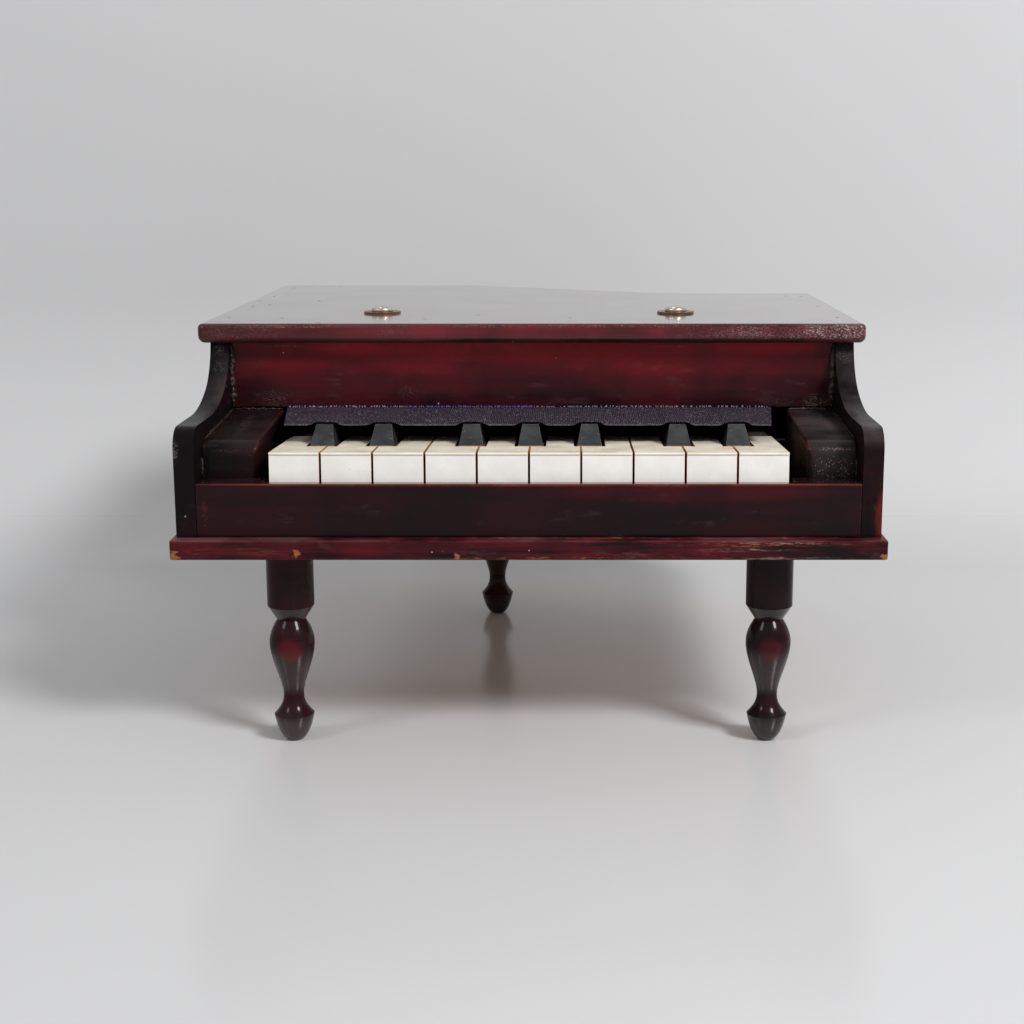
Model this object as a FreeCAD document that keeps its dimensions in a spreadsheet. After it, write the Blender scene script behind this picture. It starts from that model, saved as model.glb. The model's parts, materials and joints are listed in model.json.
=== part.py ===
"""A wooden toy grand piano: case on three turned legs, seventeen keys, and the hammers and plates inside.

Millimetres. +X is the player's right, +Y runs back from the keys, +Z is up, and the feet stand on Z = 0.
"""
import math
import os
from types import SimpleNamespace

import FreeCAD
import Part
import Sketcher

doc = FreeCAD.newDocument("toy_piano")
sheet = doc.addObject("Spreadsheet::Sheet", "sheet")
Vector = FreeCAD.Vector

driving_sizes = {
    # Case, seen from above
    "case_width": 299.0,
    "case_front": -159.4,
    "tail_back": 161.1,
    "side_back": 98.6,
    "tail_bend": -39.0,
    "side_bend": 71.0,
    "tail_round": 31.0,
    "side_round": 58.7,
    "panel_thick": 8.65,
    "rim_thick": 6.0,
    # Case, heights
    "leg_height": 86.1,
    "base_thick": 8.4,
    "wall_height": 74.2,
    "base_overhang": 2.0,
    "base_lip_length": 6.3,
    "base_edge_round": 0.8,
    "base_corner_round": 1.2,
    # Lid
    "lid_thick": 9.0,
    "lid_overhang": 4.6,
    "lid_front": -81.4,
    "lid_corner_round": 3.0,
    "lid_top_round": 2.4,
    "lid_under_round": 3.2,
    "lid_pin_bore": 2.0,
    "lid_pin_depth": 6.0,
    "lid_pin_start": -50.0,
    "lid_pin_step": 64.0,
    # Arms
    "arm_height": 46.5,
    "nose_round": 9.5,
    "sweep_start": -121.4,
    "sweep_middle": -89.4,
    "sweep_rise": 7.2,
    "sweep_low_round": 74.7,
    "sweep_high_round": 28.0,
    "sweep_top": -73.8,
    # Legs
    "leg_edge": 45.1,
    "leg_inset": 15.0,
    "back_leg_x": -23.0,
    "back_leg_y": 70.5,
    "tenon_radius": 5.0,
    "tenon_length": 6.0,
    "tenon_play": 0.1,
    "leg_radius": 10.2,
    "leg_block_length": 24.9,
    "waist_radius": 6.1,
    "waist_height": 55.3,
    "bulb_round": 25.3,
    "bulb_foot_radius": 6.4,
    "bulb_foot_height": 29.1,
    "cove_round": 13.0,
    "cove_foot_radius": 7.9,
    "collar_slope": 1.5,
    "collar_radius": 8.75,
    "collar_height": 11.8,
    "foot_round": 15.6,
    "foot_radius": 3.7,
    # Keyboard
    "key_gap": 0.9,
    "slot_gap": 0.8,
    "sharp_gap": 1.9,
    "pivot_height": 22.5,
    "rest_tilt": 3.1,
    "wire_bore": 2.4,
    "wire_seat": 4.0,
    "wire_play": 0.5,
    "key_reach": 112.6,
    "white_head": 23.2,
    "cover_length": 66.1,
    "tail_past_hammer": 17.0,
    "key_top": 6.8,
    "cover_thick": 0.9,
    "cover_lip_length": 0.5,
    "stick_depth": 5.2,
    "head_depth": 9.7,
    "head_length": 17.0,
    "sharp_side_gap": 2.06,
    "sharp_taper": 1.9,
    "sharp_front_gap": 2.6,
    "sharp_slope": 9.5,
    "sharp_back_gap": 4.6,
    # Key slip, blocks and fallboard
    "slip_height": 23.1,
    "slip_depth": 15.0,
    "slip_lip_thick": 5.3,
    "slip_play": 1.0,
    "slip_side_play": 2.0,
    "left_block_width": 24.35,
    "right_block_width": 21.55,
    "left_block_gap": 5.5,
    "right_block_gap": 8.3,
    "block_front_height": 32.0,
    "block_nose": 6.5,
    "block_top_height": 38.6,
    "block_back_height": 42.3,
    "block_nose_round": 8.0,
    "block_edge_round": 4.0,
    "fallboard_front": -71.4,
    "fallboard_thick": 8.0,
    "fallboard_gap": 43.2,
    # Cloth over the sharps
    "cloth_thick": 0.9,
    "cloth_reach": 42.5,
    "cloth_tuck": 5.0,
    "cloth_past": 3.0,
    "cloth_sag_depth": 0.2,
    "cloth_end_drop": 0.2,
    # Felts and rails
    "felt_thick": 2.5,
    "back_felt_thick": 2.0,
    "soft_gap": 0.3,
    "balance_rail_depth": 16.0,
    "balance_rail_gap": 0.8,
    "back_rail_lead": 1.0,
    "back_rail_depth": 10.0,
    # Hammers
    "hammer_height": 39.5,
    "hammer_gap": 6.06,
    "butt_radius": 4.0,
    "tongue_reach": 12.6,
    "tongue_width": 2.0,
    "shank_thick": 3.0,
    "shank_width": 3.6,
    "strike_reach": 48.0,
    "strike_inset": 28.6,
    "hammer_head_height": 8.0,
    "hammer_head_thick": 7.0,
    # Tone plates
    "plate_thick": 2.0,
    "plate_gap": 3.46,
    "long_plate": 84.0,
    "plate_height": 62.8,
    "plate_node": 0.276,
    "plate_rail_depth": 8.0,
    "plate_rail_height": 6.5,
    "plate_felt_thick": 1.5,
    "plate_pin_bore": 1.8,
    "plate_pin_play": 0.2,
    "plate_pin_stand": 1.2,
    # Eyelets in the lid
    "eyelet_spread": 72.0,
    "eyelet_shift": -2.5,
    "eyelet_y": -25.0,
    "eyelet_flange": 18.0,
    "eyelet_flange_thick": 0.9,
    "eyelet_ring": 10.5,
    "eyelet_ring_height": 2.8,
    "eyelet_ring_round": 1.0,
    "eyelet_bore": 6.0,
    "eyelet_wall": 0.6,
    "eyelet_play": 0.1,
}
note_count = 17
white_notes = (0, 2, 4, 5, 7, 9, 11, 12, 14, 16)
note_names = ("c", "cs", "d", "ds", "e", "f", "fs", "g", "gs", "a", "as", "b")

for row, (alias, amount) in enumerate(driving_sizes.items(), start=1):
    sheet.set(f"A{row}", alias)
    sheet.set(f"B{row}", str(amount))
    sheet.setAlias(f"B{row}", alias)
doc.recompute()


class Size:
    """A number that remembers the spreadsheet formula it came from."""

    def __init__(self, number, formula):
        self.number = number
        self.formula = formula

    def __add__(self, other):
        other = as_size(other)
        return Size(self.number + other.number, f"({self.formula} + {other.formula})")

    def __sub__(self, other):
        other = as_size(other)
        return Size(self.number - other.number, f"({self.formula} - {other.formula})")

    def __mul__(self, other):
        other = as_size(other)
        return Size(self.number * other.number, f"({self.formula} * {other.formula})")

    def __truediv__(self, other):
        other = as_size(other)
        return Size(self.number / other.number, f"({self.formula} / {other.formula})")

    def __radd__(self, other):
        return as_size(other) + self

    def __rsub__(self, other):
        return as_size(other) - self

    def __rmul__(self, other):
        return as_size(other) * self

    def __neg__(self):
        return as_size(0) - self


def as_size(amount):
    if isinstance(amount, Size):
        return amount
    return Size(float(amount), f"({float(amount)})")


def sine(angle):
    return Size(math.sin(math.radians(angle.number)), f"sin({angle.formula} * 1 deg)")


def cosine(angle):
    return Size(math.cos(math.radians(angle.number)), f"cos({angle.formula} * 1 deg)")


def half_turn_tangent(slope):
    """Tangent of half the angle of a line with this slope."""
    return Size(math.tan(math.atan(slope.number) / 2), f"tan(atan({slope.formula}) / 2)")


s = SimpleNamespace(**{alias: Size(amount, f"sheet.{alias}") for alias, amount in driving_sizes.items()})

# Levels and places that several pieces share
base_top = s.leg_height + s.base_thick
lid_under = base_top + s.wall_height
lid_top = lid_under + s.lid_thick
inner_half = s.case_width / 2 - s.panel_thick
pivot_z = base_top + s.pivot_height
hammer_z = base_top + s.hammer_height
slip_top = base_top + s.slip_height
slip_back = s.case_front + s.slip_depth
fallboard_under = base_top + s.fallboard_gap
plate_under = base_top + s.plate_height
strike_y = s.side_back - s.rim_thick - s.strike_inset
hammer_y = strike_y - s.strike_reach
block_left_face = s.left_block_width - inner_half
block_right_face = inner_half - s.right_block_width
key_left = block_left_face + s.left_block_gap
key_right = block_right_face - s.right_block_gap
white_pitch = (key_right - key_left) / len(white_notes)
slot_pitch = (key_right - key_left) / note_count
sharp_width = slot_pitch - s.sharp_side_gap
sharp_top_width = sharp_width - 2 * s.sharp_taper
hammer_width = slot_pitch - s.hammer_gap
lip_back = s.case_front + s.slip_lip_thick
pivot_y = lip_back + s.slip_play + s.cover_lip_length + s.key_reach
notch_reach = s.key_reach - s.white_head
tail_reach = hammer_y + s.tail_past_hammer - pivot_y
stick_top = s.key_top - s.cover_thick
bend_tangent = half_turn_tangent((s.tail_back - s.side_back) / (s.side_bend - s.tail_bend))
nodes = []


def new_body(label):
    body = doc.addObject("PartDesign::Body", label)
    body.Label = label
    nodes.append(body)
    return body


def place(item, x, y, z):
    """Puts an object at a place that follows the sheet."""
    for axis, amount in zip("xyz", (x, y, z)):
        item.setExpression(f".Placement.Base.{axis}", as_size(amount).formula)


def new_sketch(body, role, offset=0):
    """A sketch on one of the body's own planes: XY_Plane, XZ_Plane (normal -Y) or YZ_Plane (normal +X)."""
    sketch = body.newObject("Sketcher::SketchObject", f"{body.Name}_sketch")
    plane = next(item for item in body.Origin.OriginFeatures if item.Role == role)
    sketch.AttachmentSupport = (plane, [""])
    sketch.MapMode = "FlatFace"
    sketch.setExpression(".AttachmentOffset.Base.z", as_size(offset).formula)
    return sketch


def bind(sketch, dimensions):
    """Adds dimensions whose values follow the sheet, each given as its size, its kind and its places."""
    limits = [Sketcher.Constraint(kind, *places, amount.number) for amount, kind, *places in dimensions]
    for index, dimension in zip(sketch.addConstraint(limits), dimensions):
        sketch.setExpression(f".Constraints[{index}]", dimension[0].formula)


def arc_between(start, end, radius, side):
    """The shorter arc from start to end whose centre lies left (+1) or right (-1) of the way between them."""
    chord = end - start
    half = chord.Length / 2
    left = Vector(-chord.y, chord.x, 0).normalize()
    rise = math.sqrt(radius * radius - half * half)
    centre = (start + end) / 2 + left * (side * rise)
    middle = centre - left * (side * radius)
    return Part.Arc(start, middle, end)


def draw(sketch, points, arcs=None):
    """Closes an outline through the points. arcs maps a side's number to its radius and its centre's side."""
    arcs = arcs or {}
    ends = [(as_size(x), as_size(y)) for x, y in points]
    spots = [Vector(x.number, y.number, 0) for x, y in ends]
    first = sketch.GeometryCount
    starts = []
    for index, spot in enumerate(spots):
        after = spots[(index + 1) % len(spots)]
        if index in arcs:
            radius, side = arcs[index]
            line = sketch.addGeometry(arc_between(spot, after, as_size(radius).number, side))
        else:
            line = sketch.addGeometry(Part.LineSegment(spot, after))
        begins_here = sketch.getPoint(line, 1).distanceToPoint(spot) < 1e-6
        starts.append(1 if begins_here else 2)
    joins = []
    dimensions = []
    for index, (x, y) in enumerate(ends):
        line = first + index
        before = (index - 1) % len(spots)
        end_before = 3 - starts[before]
        joins.append(Sketcher.Constraint("Coincident", first + before, end_before, line, starts[index]))
        dimensions.append((x, "DistanceX", -1, 1, line, starts[index]))
        dimensions.append((y, "DistanceY", -1, 1, line, starts[index]))
        if index in arcs:
            dimensions.append((as_size(arcs[index][0]), "Radius", line))
    sketch.addConstraint(joins)
    bind(sketch, dimensions)


def draw_circle(sketch, x, y, diameter):
    x, y, diameter = as_size(x), as_size(y), as_size(diameter)
    spot = Vector(x.number, y.number, 0)
    ring = sketch.addGeometry(Part.Circle(spot, Vector(0, 0, 1), diameter.number / 2))
    centre = (-1, 1, ring, 3)
    bind(sketch, [(x, "DistanceX", *centre), (y, "DistanceY", *centre), (diameter, "Diameter", ring)])


def pad(body, sketch, length, midplane=False, reverse=False):
    feature = body.newObject("PartDesign::Pad", f"{body.Name}_pad")
    feature.Profile = sketch
    feature.Midplane = midplane
    feature.Reversed = reverse
    feature.setExpression("Length", as_size(length).formula)


def pocket(body, sketch, length=None, reverse=False):
    """Cuts a sketch into the body: to a depth, or right through both ways where no depth is given."""
    feature = body.newObject("PartDesign::Pocket", f"{body.Name}_pocket")
    feature.Profile = sketch
    feature.Reversed = reverse
    if length is None:
        feature.Type = "ThroughAll"
        feature.Midplane = True
    else:
        feature.setExpression("Length", as_size(length).formula)


def turn(body, sketch):
    """Turns a sketch once round its upright axis."""
    feature = body.newObject("PartDesign::Revolution", f"{body.Name}_turning")
    feature.Profile = sketch
    feature.ReferenceAxis = (sketch, ["V_Axis"])
    feature.Angle = 360


def round_edges(body, radius, wanted):
    """Rounds the edges of the body so far that the test picks."""
    doc.recompute()
    tip = body.Tip
    names = [f"Edge{number}" for number, edge in enumerate(tip.Shape.Edges, start=1) if wanted(edge)]
    feature = body.newObject("PartDesign::Fillet", f"{body.Name}_fillet")
    feature.Base = (tip, names)
    feature.setExpression("Radius", as_size(radius).formula)


def upright_at(x, y):
    """Picks the upright edge that stands at a place."""
    x, y = as_size(x).number, as_size(y).number

    def wanted(edge):
        box = edge.BoundBox
        return box.ZLength > 1 and abs(box.Center.x - x) + abs(box.Center.y - y) + box.XLength < 0.01

    return wanted


def level_at(z):
    """Picks the edges that lie at a height."""
    z = as_size(z).number
    return lambda edge: abs(edge.BoundBox.ZMin - z) + abs(edge.BoundBox.ZMax - z) < 0.001


def plan_points(front, offset):
    """The case seen from above, from its front left corner to the right, grown outwards by the offset."""
    side = s.case_width / 2 + offset
    tail = s.tail_back + offset
    shoulder = s.side_back + offset
    shift = bend_tangent * offset
    return [
        (-side, front),
        (side, front),
        (side, shoulder),
        (s.side_bend + shift, shoulder),
        (s.tail_bend + shift, tail),
        (-side, tail),
    ]


def board(label, front, offset, bottom, thick, corner_round):
    """A board of the case's plan, with the bent side and the corners rounded."""
    body = new_body(label)
    sketch = new_sketch(body, "XY_Plane", bottom)
    points = plan_points(front, offset)
    draw(sketch, points)
    pad(body, sketch, thick)
    round_edges(body, s.side_round - offset, upright_at(*points[3]))
    round_edges(body, s.tail_round + offset, upright_at(*points[4]))
    for index in (0, 1, 2, 5):
        round_edges(body, corner_round, upright_at(*points[index]))
    return body


def bar(label, left, right, front, back, bottom, top):
    """A straight bar, from its six sides."""
    body = new_body(label)
    sketch = new_sketch(body, "XY_Plane", bottom)
    draw(sketch, [(left, front), (right, front), (right, back), (left, back)])
    pad(body, sketch, top - bottom)
    return body


def pin_places():
    """Where the brads hold the lid to the side panels."""
    across = s.case_width / 2 - s.panel_thick / 2
    places = []
    for side in (-1, 1):
        for step in range(3):
            places.append((side * across, s.lid_pin_start + step * s.lid_pin_step))
    return places


def eyelet_places():
    return [(s.eyelet_shift + side * s.eyelet_spread, s.eyelet_y) for side in (-1, 1)]


def leg_places():
    across = s.case_width / 2 - s.leg_edge
    front = s.case_front + s.leg_inset
    return {
        "left_front_leg": (-across, front),
        "right_front_leg": (across, front),
        "back_leg": (s.back_leg_x, s.back_leg_y),
    }


def make_base():
    front = s.case_front - s.base_lip_length
    body = board("base_board", front, s.base_overhang, s.leg_height, s.base_thick, s.base_corner_round)
    round_edges(body, s.base_edge_round, level_at(base_top))
    round_edges(body, s.base_edge_round, level_at(s.leg_height))
    sockets = new_sketch(body, "XY_Plane", s.leg_height)
    for x, y in leg_places().values():
        draw_circle(sockets, x, y, 2 * (s.tenon_radius + s.tenon_play))
    pocket(body, sockets, s.tenon_length, reverse=True)


def make_leg(label, x, y):
    """A turned leg: foot and collar, a thin neck, a long bulb, a waist and a round block with its tenon."""
    body = new_body(label)
    sketch = new_sketch(body, "XZ_Plane")
    points = [
        (0, 0),
        (s.foot_radius, 0),
        (s.collar_radius, s.collar_height),
        (s.cove_foot_radius, s.collar_height + s.collar_slope),
        (s.bulb_foot_radius, s.bulb_foot_height),
        (s.waist_radius, s.waist_height),
        (s.leg_radius, s.leg_height - s.leg_block_length),
        (s.leg_radius, s.leg_height),
        (s.tenon_radius, s.leg_height),
        (s.tenon_radius, s.leg_height + s.tenon_length),
        (0, s.leg_height + s.tenon_length),
    ]
    draw(sketch, points, {1: (s.foot_round, 1), 3: (s.cove_round, -1), 4: (s.bulb_round, 1)})
    turn(body, sketch)
    place(body, x, y, 0)


def make_lid():
    body = board("lid", s.lid_front, s.lid_overhang, lid_under, s.lid_thick, s.lid_corner_round)
    round_edges(body, s.lid_top_round, level_at(lid_top))
    round_edges(body, s.lid_under_round, level_at(lid_under))
    holes = new_sketch(body, "XY_Plane", lid_under)
    for x, y in eyelet_places():
        draw_circle(holes, x, y, s.eyelet_bore + 2 * (s.eyelet_wall + s.eyelet_play))
    for x, y in pin_places():
        draw_circle(holes, x, y, s.lid_pin_bore)
    pocket(body, holes)


def add_pin(label, x, y, bottom, length, diameter):
    pin = doc.addObject("Part::Cylinder", label)
    pin.setExpression("Radius", (diameter / 2).formula)
    pin.setExpression("Height", length.formula)
    place(pin, x, y, bottom)
    return pin


def gather(label, pieces):
    """Keeps a set of like pieces as one group of separate solids."""
    group = doc.addObject("Part::Compound", label)
    group.Label = label
    group.Links = pieces
    nodes.append(group)


def make_eyelets():
    """Two rolled eyelets, each with a flat flange on the lid, a rounded ring and a barrel through the lid."""
    bore = s.eyelet_bore / 2
    barrel = bore + s.eyelet_wall
    ring = s.eyelet_ring / 2
    roll = s.eyelet_ring_round
    points = [
        (bore, -s.lid_thick),
        (barrel, -s.lid_thick),
        (barrel, 0),
        (s.eyelet_flange / 2, 0),
        (s.eyelet_flange / 2, s.eyelet_flange_thick),
        (ring, s.eyelet_flange_thick),
        (ring, s.eyelet_ring_height - roll),
        (ring - roll, s.eyelet_ring_height),
        (bore + roll, s.eyelet_ring_height),
        (bore, s.eyelet_ring_height - roll),
    ]
    pair = []
    for x, y in eyelet_places():
        body = doc.addObject("PartDesign::Body", "eyelet")
        sketch = new_sketch(body, "XZ_Plane")
        draw(sketch, points, {6: (roll, 1), 8: (roll, 1)})
        turn(body, sketch)
        place(body, x, y, lid_top)
        pair.append(body)
    gather("eyelets", pair)


def make_lid_pins():
    length = s.lid_thick + s.lid_pin_depth
    bottom = lid_under - s.lid_pin_depth
    pins = [add_pin("lid_pin", x, y, bottom, length, s.lid_pin_bore) for x, y in pin_places()]
    gather("lid_pins", pins)


def make_side_panel(label, left_edge, inner_face, back):
    """A side of the case, with the arm's rounded nose and its sweep up to the lid."""
    body = new_body(label)
    on_right = inner_face.number > 0
    arm_top = base_top + s.arm_height
    sketch = new_sketch(body, "YZ_Plane", left_edge)
    points = [
        (s.case_front, base_top),
        (back, base_top),
        (back, lid_under),
        (s.sweep_top, lid_under),
        (s.sweep_middle, arm_top + s.sweep_rise),
        (s.sweep_start, arm_top),
        (s.case_front + s.nose_round, arm_top),
        (s.case_front, arm_top - s.nose_round),
    ]
    draw(sketch, points, {3: (s.sweep_high_round, -1), 4: (s.sweep_low_round, -1), 6: (s.nose_round, 1)})
    pad(body, sketch, s.panel_thick)
    seats = new_sketch(body, "YZ_Plane", inner_face)
    draw_circle(seats, pivot_y, pivot_z, s.wire_bore)
    draw_circle(seats, hammer_y, hammer_z, s.wire_bore)
    pocket(body, seats, s.wire_seat, reverse=on_right)
    pins = new_sketch(body, "XY_Plane", lid_under)
    for x, y in pin_places():
        if (x.number > 0) == on_right:
            draw_circle(pins, x, y, s.lid_pin_bore)
    pocket(body, pins, s.lid_pin_depth)


def make_bent_rim():
    """The back of the case: tail, bent side and shoulder, between the side panels."""
    body = new_body("bent_rim")
    sketch = new_sketch(body, "XY_Plane", base_top)
    outer = plan_points(s.case_front, as_size(0))
    inner = plan_points(s.case_front, -s.rim_thick)
    points = [
        (inner_half, outer[2][1]),
        outer[3],
        outer[4],
        (-inner_half, outer[5][1]),
        (-inner_half, inner[5][1]),
        inner[4],
        inner[3],
        (inner_half, inner[2][1]),
    ]
    draw(sketch, points)
    pad(body, sketch, s.wall_height)
    round_edges(body, s.side_round, upright_at(*outer[3]))
    round_edges(body, s.tail_round, upright_at(*outer[4]))
    round_edges(body, s.tail_round - s.rim_thick, upright_at(*inner[4]))
    round_edges(body, s.side_round + s.rim_thick, upright_at(*inner[3]))


def make_key_slip():
    """The rail in front of the keys, cut back to a lip along them, and the felt on its floor."""
    felt_top = pivot_z - s.head_depth - s.soft_gap
    floor = felt_top - s.felt_thick
    left = key_left - s.slip_side_play
    right = key_right + s.slip_side_play
    body = bar("front_rail", -inner_half, inner_half, s.case_front, slip_back, base_top, slip_top)
    sketch = new_sketch(body, "XY_Plane", slip_top)
    draw(sketch, [(left, lip_back), (right, lip_back), (right, slip_back), (left, slip_back)])
    pocket(body, sketch, slip_top - floor)
    bar("front_felt", left, right, lip_back, slip_back, floor, felt_top)


def make_key_block(label, left, right, inner_face):
    """The block beside the keys, with its front rounded over and its top rising to the fallboard."""
    body = new_body(label)
    sketch = new_sketch(body, "YZ_Plane", left)
    points = [
        (slip_back, base_top),
        (s.fallboard_front, base_top),
        (s.fallboard_front, base_top + s.block_back_height),
        (slip_back + s.block_nose, base_top + s.block_top_height),
        (slip_back, base_top + s.block_front_height),
    ]
    draw(sketch, points, {3: (s.block_nose_round, 1)})
    pad(body, sketch, right - left)
    round_edges(body, s.block_edge_round, upright_at(inner_face, slip_back))


def slot_centre(note):
    """The middle of a note's share of the key bed, where its tail and its hammer lie."""
    return key_left + slot_pitch * (note + 0.5)


def note_label(kind, note):
    return f"{kind}_{note_names[note % 12]}{note // 12 + 1}"


def make_key_cloth():
    """The cloth under the fallboard that lies forward on the sharps and sags between them."""
    body = new_body("key_cloth")
    under = fallboard_under - s.cloth_thick
    half_flat = sharp_top_width / 2
    low = [(key_left - s.cloth_past, under - s.cloth_end_drop)]
    for note in range(note_count):
        if note not in white_notes:
            low += [(slot_centre(note) - half_flat, under), (slot_centre(note) + half_flat, under)]
    low.append((key_right + s.cloth_past, under - s.cloth_end_drop))
    high = [(x, z + s.cloth_thick) for x, z in reversed(low)]
    arcs = {}
    for index in range(2, len(low) - 2, 2):
        chord = low[index + 1][0] - low[index][0]
        radius = (chord * chord / 4 + s.cloth_sag_depth * s.cloth_sag_depth) / (2 * s.cloth_sag_depth)
        arcs[index] = (radius, 1)
        arcs[2 * len(low) - 2 - index] = (radius, -1)
    sketch = new_sketch(body, "XZ_Plane", -s.fallboard_front - s.cloth_tuck)
    draw(sketch, low + high, arcs)
    pad(body, sketch, s.cloth_reach + s.cloth_tuck)


def hang_on_balance_wire(body, x):
    """Bores a key for the balance wire and hangs it there, tilted back on its rest felt."""
    sketch = new_sketch(body, "YZ_Plane")
    draw_circle(sketch, 0, 0, s.wire_bore + s.wire_play)
    pocket(body, sketch)
    body.Placement.Rotation = FreeCAD.Rotation(Vector(-1, 0, 0), s.rest_tilt.number)
    body.setExpression(".Placement.Rotation.Angle", f"{s.rest_tilt.formula} * 1 deg")
    place(body, x, pivot_y, pivot_z)


def make_white_key(note):
    """A natural: a wide head, a tail between its neighbours' sharps, and a cover with a small lip."""
    body = new_body(note_label("white_key", note))
    middle = slot_centre(note)
    head_left = key_left + white_pitch * white_notes.index(note) + s.key_gap / 2 - middle
    head_right = head_left + white_pitch - s.key_gap
    straight_left = note == 0 or note - 1 in white_notes
    straight_right = note == note_count - 1 or note + 1 in white_notes
    half_tail = (slot_pitch - s.slot_gap) / 2

    def plan(front, back):
        points = [(head_left, front), (head_right, front)]
        if straight_right:
            points.append((head_right, back))
        else:
            points += [(head_right, -notch_reach), (half_tail, -notch_reach), (half_tail, back)]
        if straight_left:
            points.append((head_left, back))
        else:
            points += [(-half_tail, back), (-half_tail, -notch_reach), (head_left, -notch_reach)]
        return points

    stick = new_sketch(body, "XY_Plane", -s.stick_depth)
    draw(stick, plan(-s.key_reach, tail_reach))
    pad(body, stick, s.stick_depth + stick_top)
    head = new_sketch(body, "XY_Plane", -s.head_depth)
    head_back = s.head_length - s.key_reach
    front_corners = [(head_left, -s.key_reach), (head_right, -s.key_reach)]
    corners = front_corners + [(head_right, head_back), (head_left, head_back)]
    draw(head, corners)
    pad(body, head, s.head_depth)
    cover = new_sketch(body, "XY_Plane", stick_top)
    cover_front = -s.key_reach - s.cover_lip_length
    draw(cover, plan(cover_front, cover_front + s.cover_length))
    pad(body, cover, s.cover_thick)
    hang_on_balance_wire(body, middle)


def make_black_key(note):
    """A sharp: a slim stick in its notch, with a tapered block that slopes up from the front."""
    body = new_body(note_label("black_key", note))
    half = (slot_pitch - s.sharp_gap) / 2
    front = s.sharp_front_gap - notch_reach
    slope_end = front + s.sharp_slope
    cloth_under = fallboard_under - s.cloth_thick - s.soft_gap
    top = (cloth_under - pivot_z + slope_end * sine(s.rest_tilt)) / cosine(s.rest_tilt)
    stick = new_sketch(body, "XY_Plane", -s.stick_depth)
    draw(stick, [(-half, front), (half, front), (half, tail_reach), (-half, tail_reach)])
    pad(body, stick, s.stick_depth + stick_top)
    block = new_sketch(body, "XZ_Plane", -front)
    wide = sharp_width / 2
    narrow = sharp_top_width / 2
    draw(block, [(-wide, stick_top), (wide, stick_top), (narrow, top), (-narrow, top)])
    back = s.fallboard_front - s.sharp_back_gap - pivot_y
    pad(body, block, back - front, reverse=True)
    slope = new_sketch(body, "YZ_Plane")
    past = front - s.sharp_slope
    draw(slope, [(front, s.key_top), (slope_end, top), (past, top), (past, s.key_top)])
    pocket(body, slope)
    hang_on_balance_wire(body, slot_centre(note))


def make_hammer(note):
    """A hammer on its wire: a butt with a tongue down to the key's tail, a shank and a crowned head."""
    body = new_body(note_label("hammer", note))
    tip_start = s.tongue_reach - s.tongue_width
    tail_y = hammer_y + tip_start - pivot_y
    tail_z = pivot_z - tail_y * sine(s.rest_tilt) + stick_top * cosine(s.rest_tilt)
    tip = tail_z + s.soft_gap - hammer_z
    shank = s.shank_thick / 2
    butt = new_sketch(body, "YZ_Plane")
    points = [
        (0, s.butt_radius),
        (-s.butt_radius, 0),
        (0, -s.butt_radius),
        (tip_start, tip),
        (s.tongue_reach, tip),
        (s.tongue_reach, s.butt_radius),
    ]
    draw(butt, points, {0: (s.butt_radius, 1), 1: (s.butt_radius, 1)})
    pad(body, butt, hammer_width, midplane=True)
    arm = new_sketch(body, "YZ_Plane")
    start, end = s.butt_radius, s.strike_reach
    draw(arm, [(start, -shank), (end, -shank), (end, shank), (start, shank)])
    pad(body, arm, s.shank_width, midplane=True)
    head = new_sketch(body, "YZ_Plane")
    ahead = s.strike_reach - s.hammer_head_thick / 2
    behind = s.strike_reach + s.hammer_head_thick / 2
    crown = s.hammer_head_height
    points = [(ahead, -shank), (behind, -shank), (behind, crown), (ahead, crown)]
    draw(head, points, {2: (s.hammer_head_thick, 1)})
    pad(body, head, hammer_width, midplane=True)
    sketch = new_sketch(body, "YZ_Plane")
    draw_circle(sketch, 0, 0, s.wire_bore + s.wire_play)
    pocket(body, sketch)
    place(body, slot_centre(note), hammer_y, hammer_z)


def make_wire(label, y, z):
    """A steel wire across the case, seated in both side panels."""
    wire = doc.addObject("Part::Cylinder", label)
    wire.Label = label
    wire.setExpression("Radius", (s.wire_bore / 2).formula)
    wire.setExpression("Height", (2 * (inner_half + s.wire_seat)).formula)
    wire.Placement.Rotation = FreeCAD.Rotation(Vector(0, 1, 0), 90)
    place(wire, -inner_half - s.wire_seat, y, z)
    nodes.append(wire)


def make_action_rails():
    """The balance rail under the keys' wire, and the felted back rail that their tails rest on."""
    half = s.balance_rail_depth / 2
    balance_top = pivot_z - s.stick_depth - s.balance_rail_gap
    bar("balance_rail", -inner_half, inner_half, pivot_y - half, pivot_y + half, base_top, balance_top)
    front = hammer_y - s.back_rail_lead
    back = front + s.back_rail_depth
    reach = back - pivot_y
    felt_top = pivot_z - reach * sine(s.rest_tilt) - s.stick_depth * cosine(s.rest_tilt) - s.soft_gap
    felt_under = felt_top - s.back_felt_thick
    bar("back_rail", -inner_half, inner_half, front, back, base_top, felt_under)
    bar("back_felt", key_left, key_right, front, back, felt_under, felt_top)


def plate_length(note):
    """Each plate sounds a semitone above the last, and its pitch goes with the square of its length."""
    return s.long_plate * 2 ** (-note / 24)


def rail_line(side, x):
    """Where the straight rail in front (-1) or behind (+1) lies, through the end plates' still points."""
    first = strike_y + side * s.plate_node * plate_length(0)
    last = strike_y + side * s.plate_node * plate_length(note_count - 1)
    return first + (last - first) * (x - slot_centre(0)) / (slot_pitch * (note_count - 1))


def plate_pin_places():
    places = []
    for side in (-1, 1):
        for note in range(note_count):
            places.append((slot_centre(note), rail_line(side, slot_centre(note))))
    return places


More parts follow.
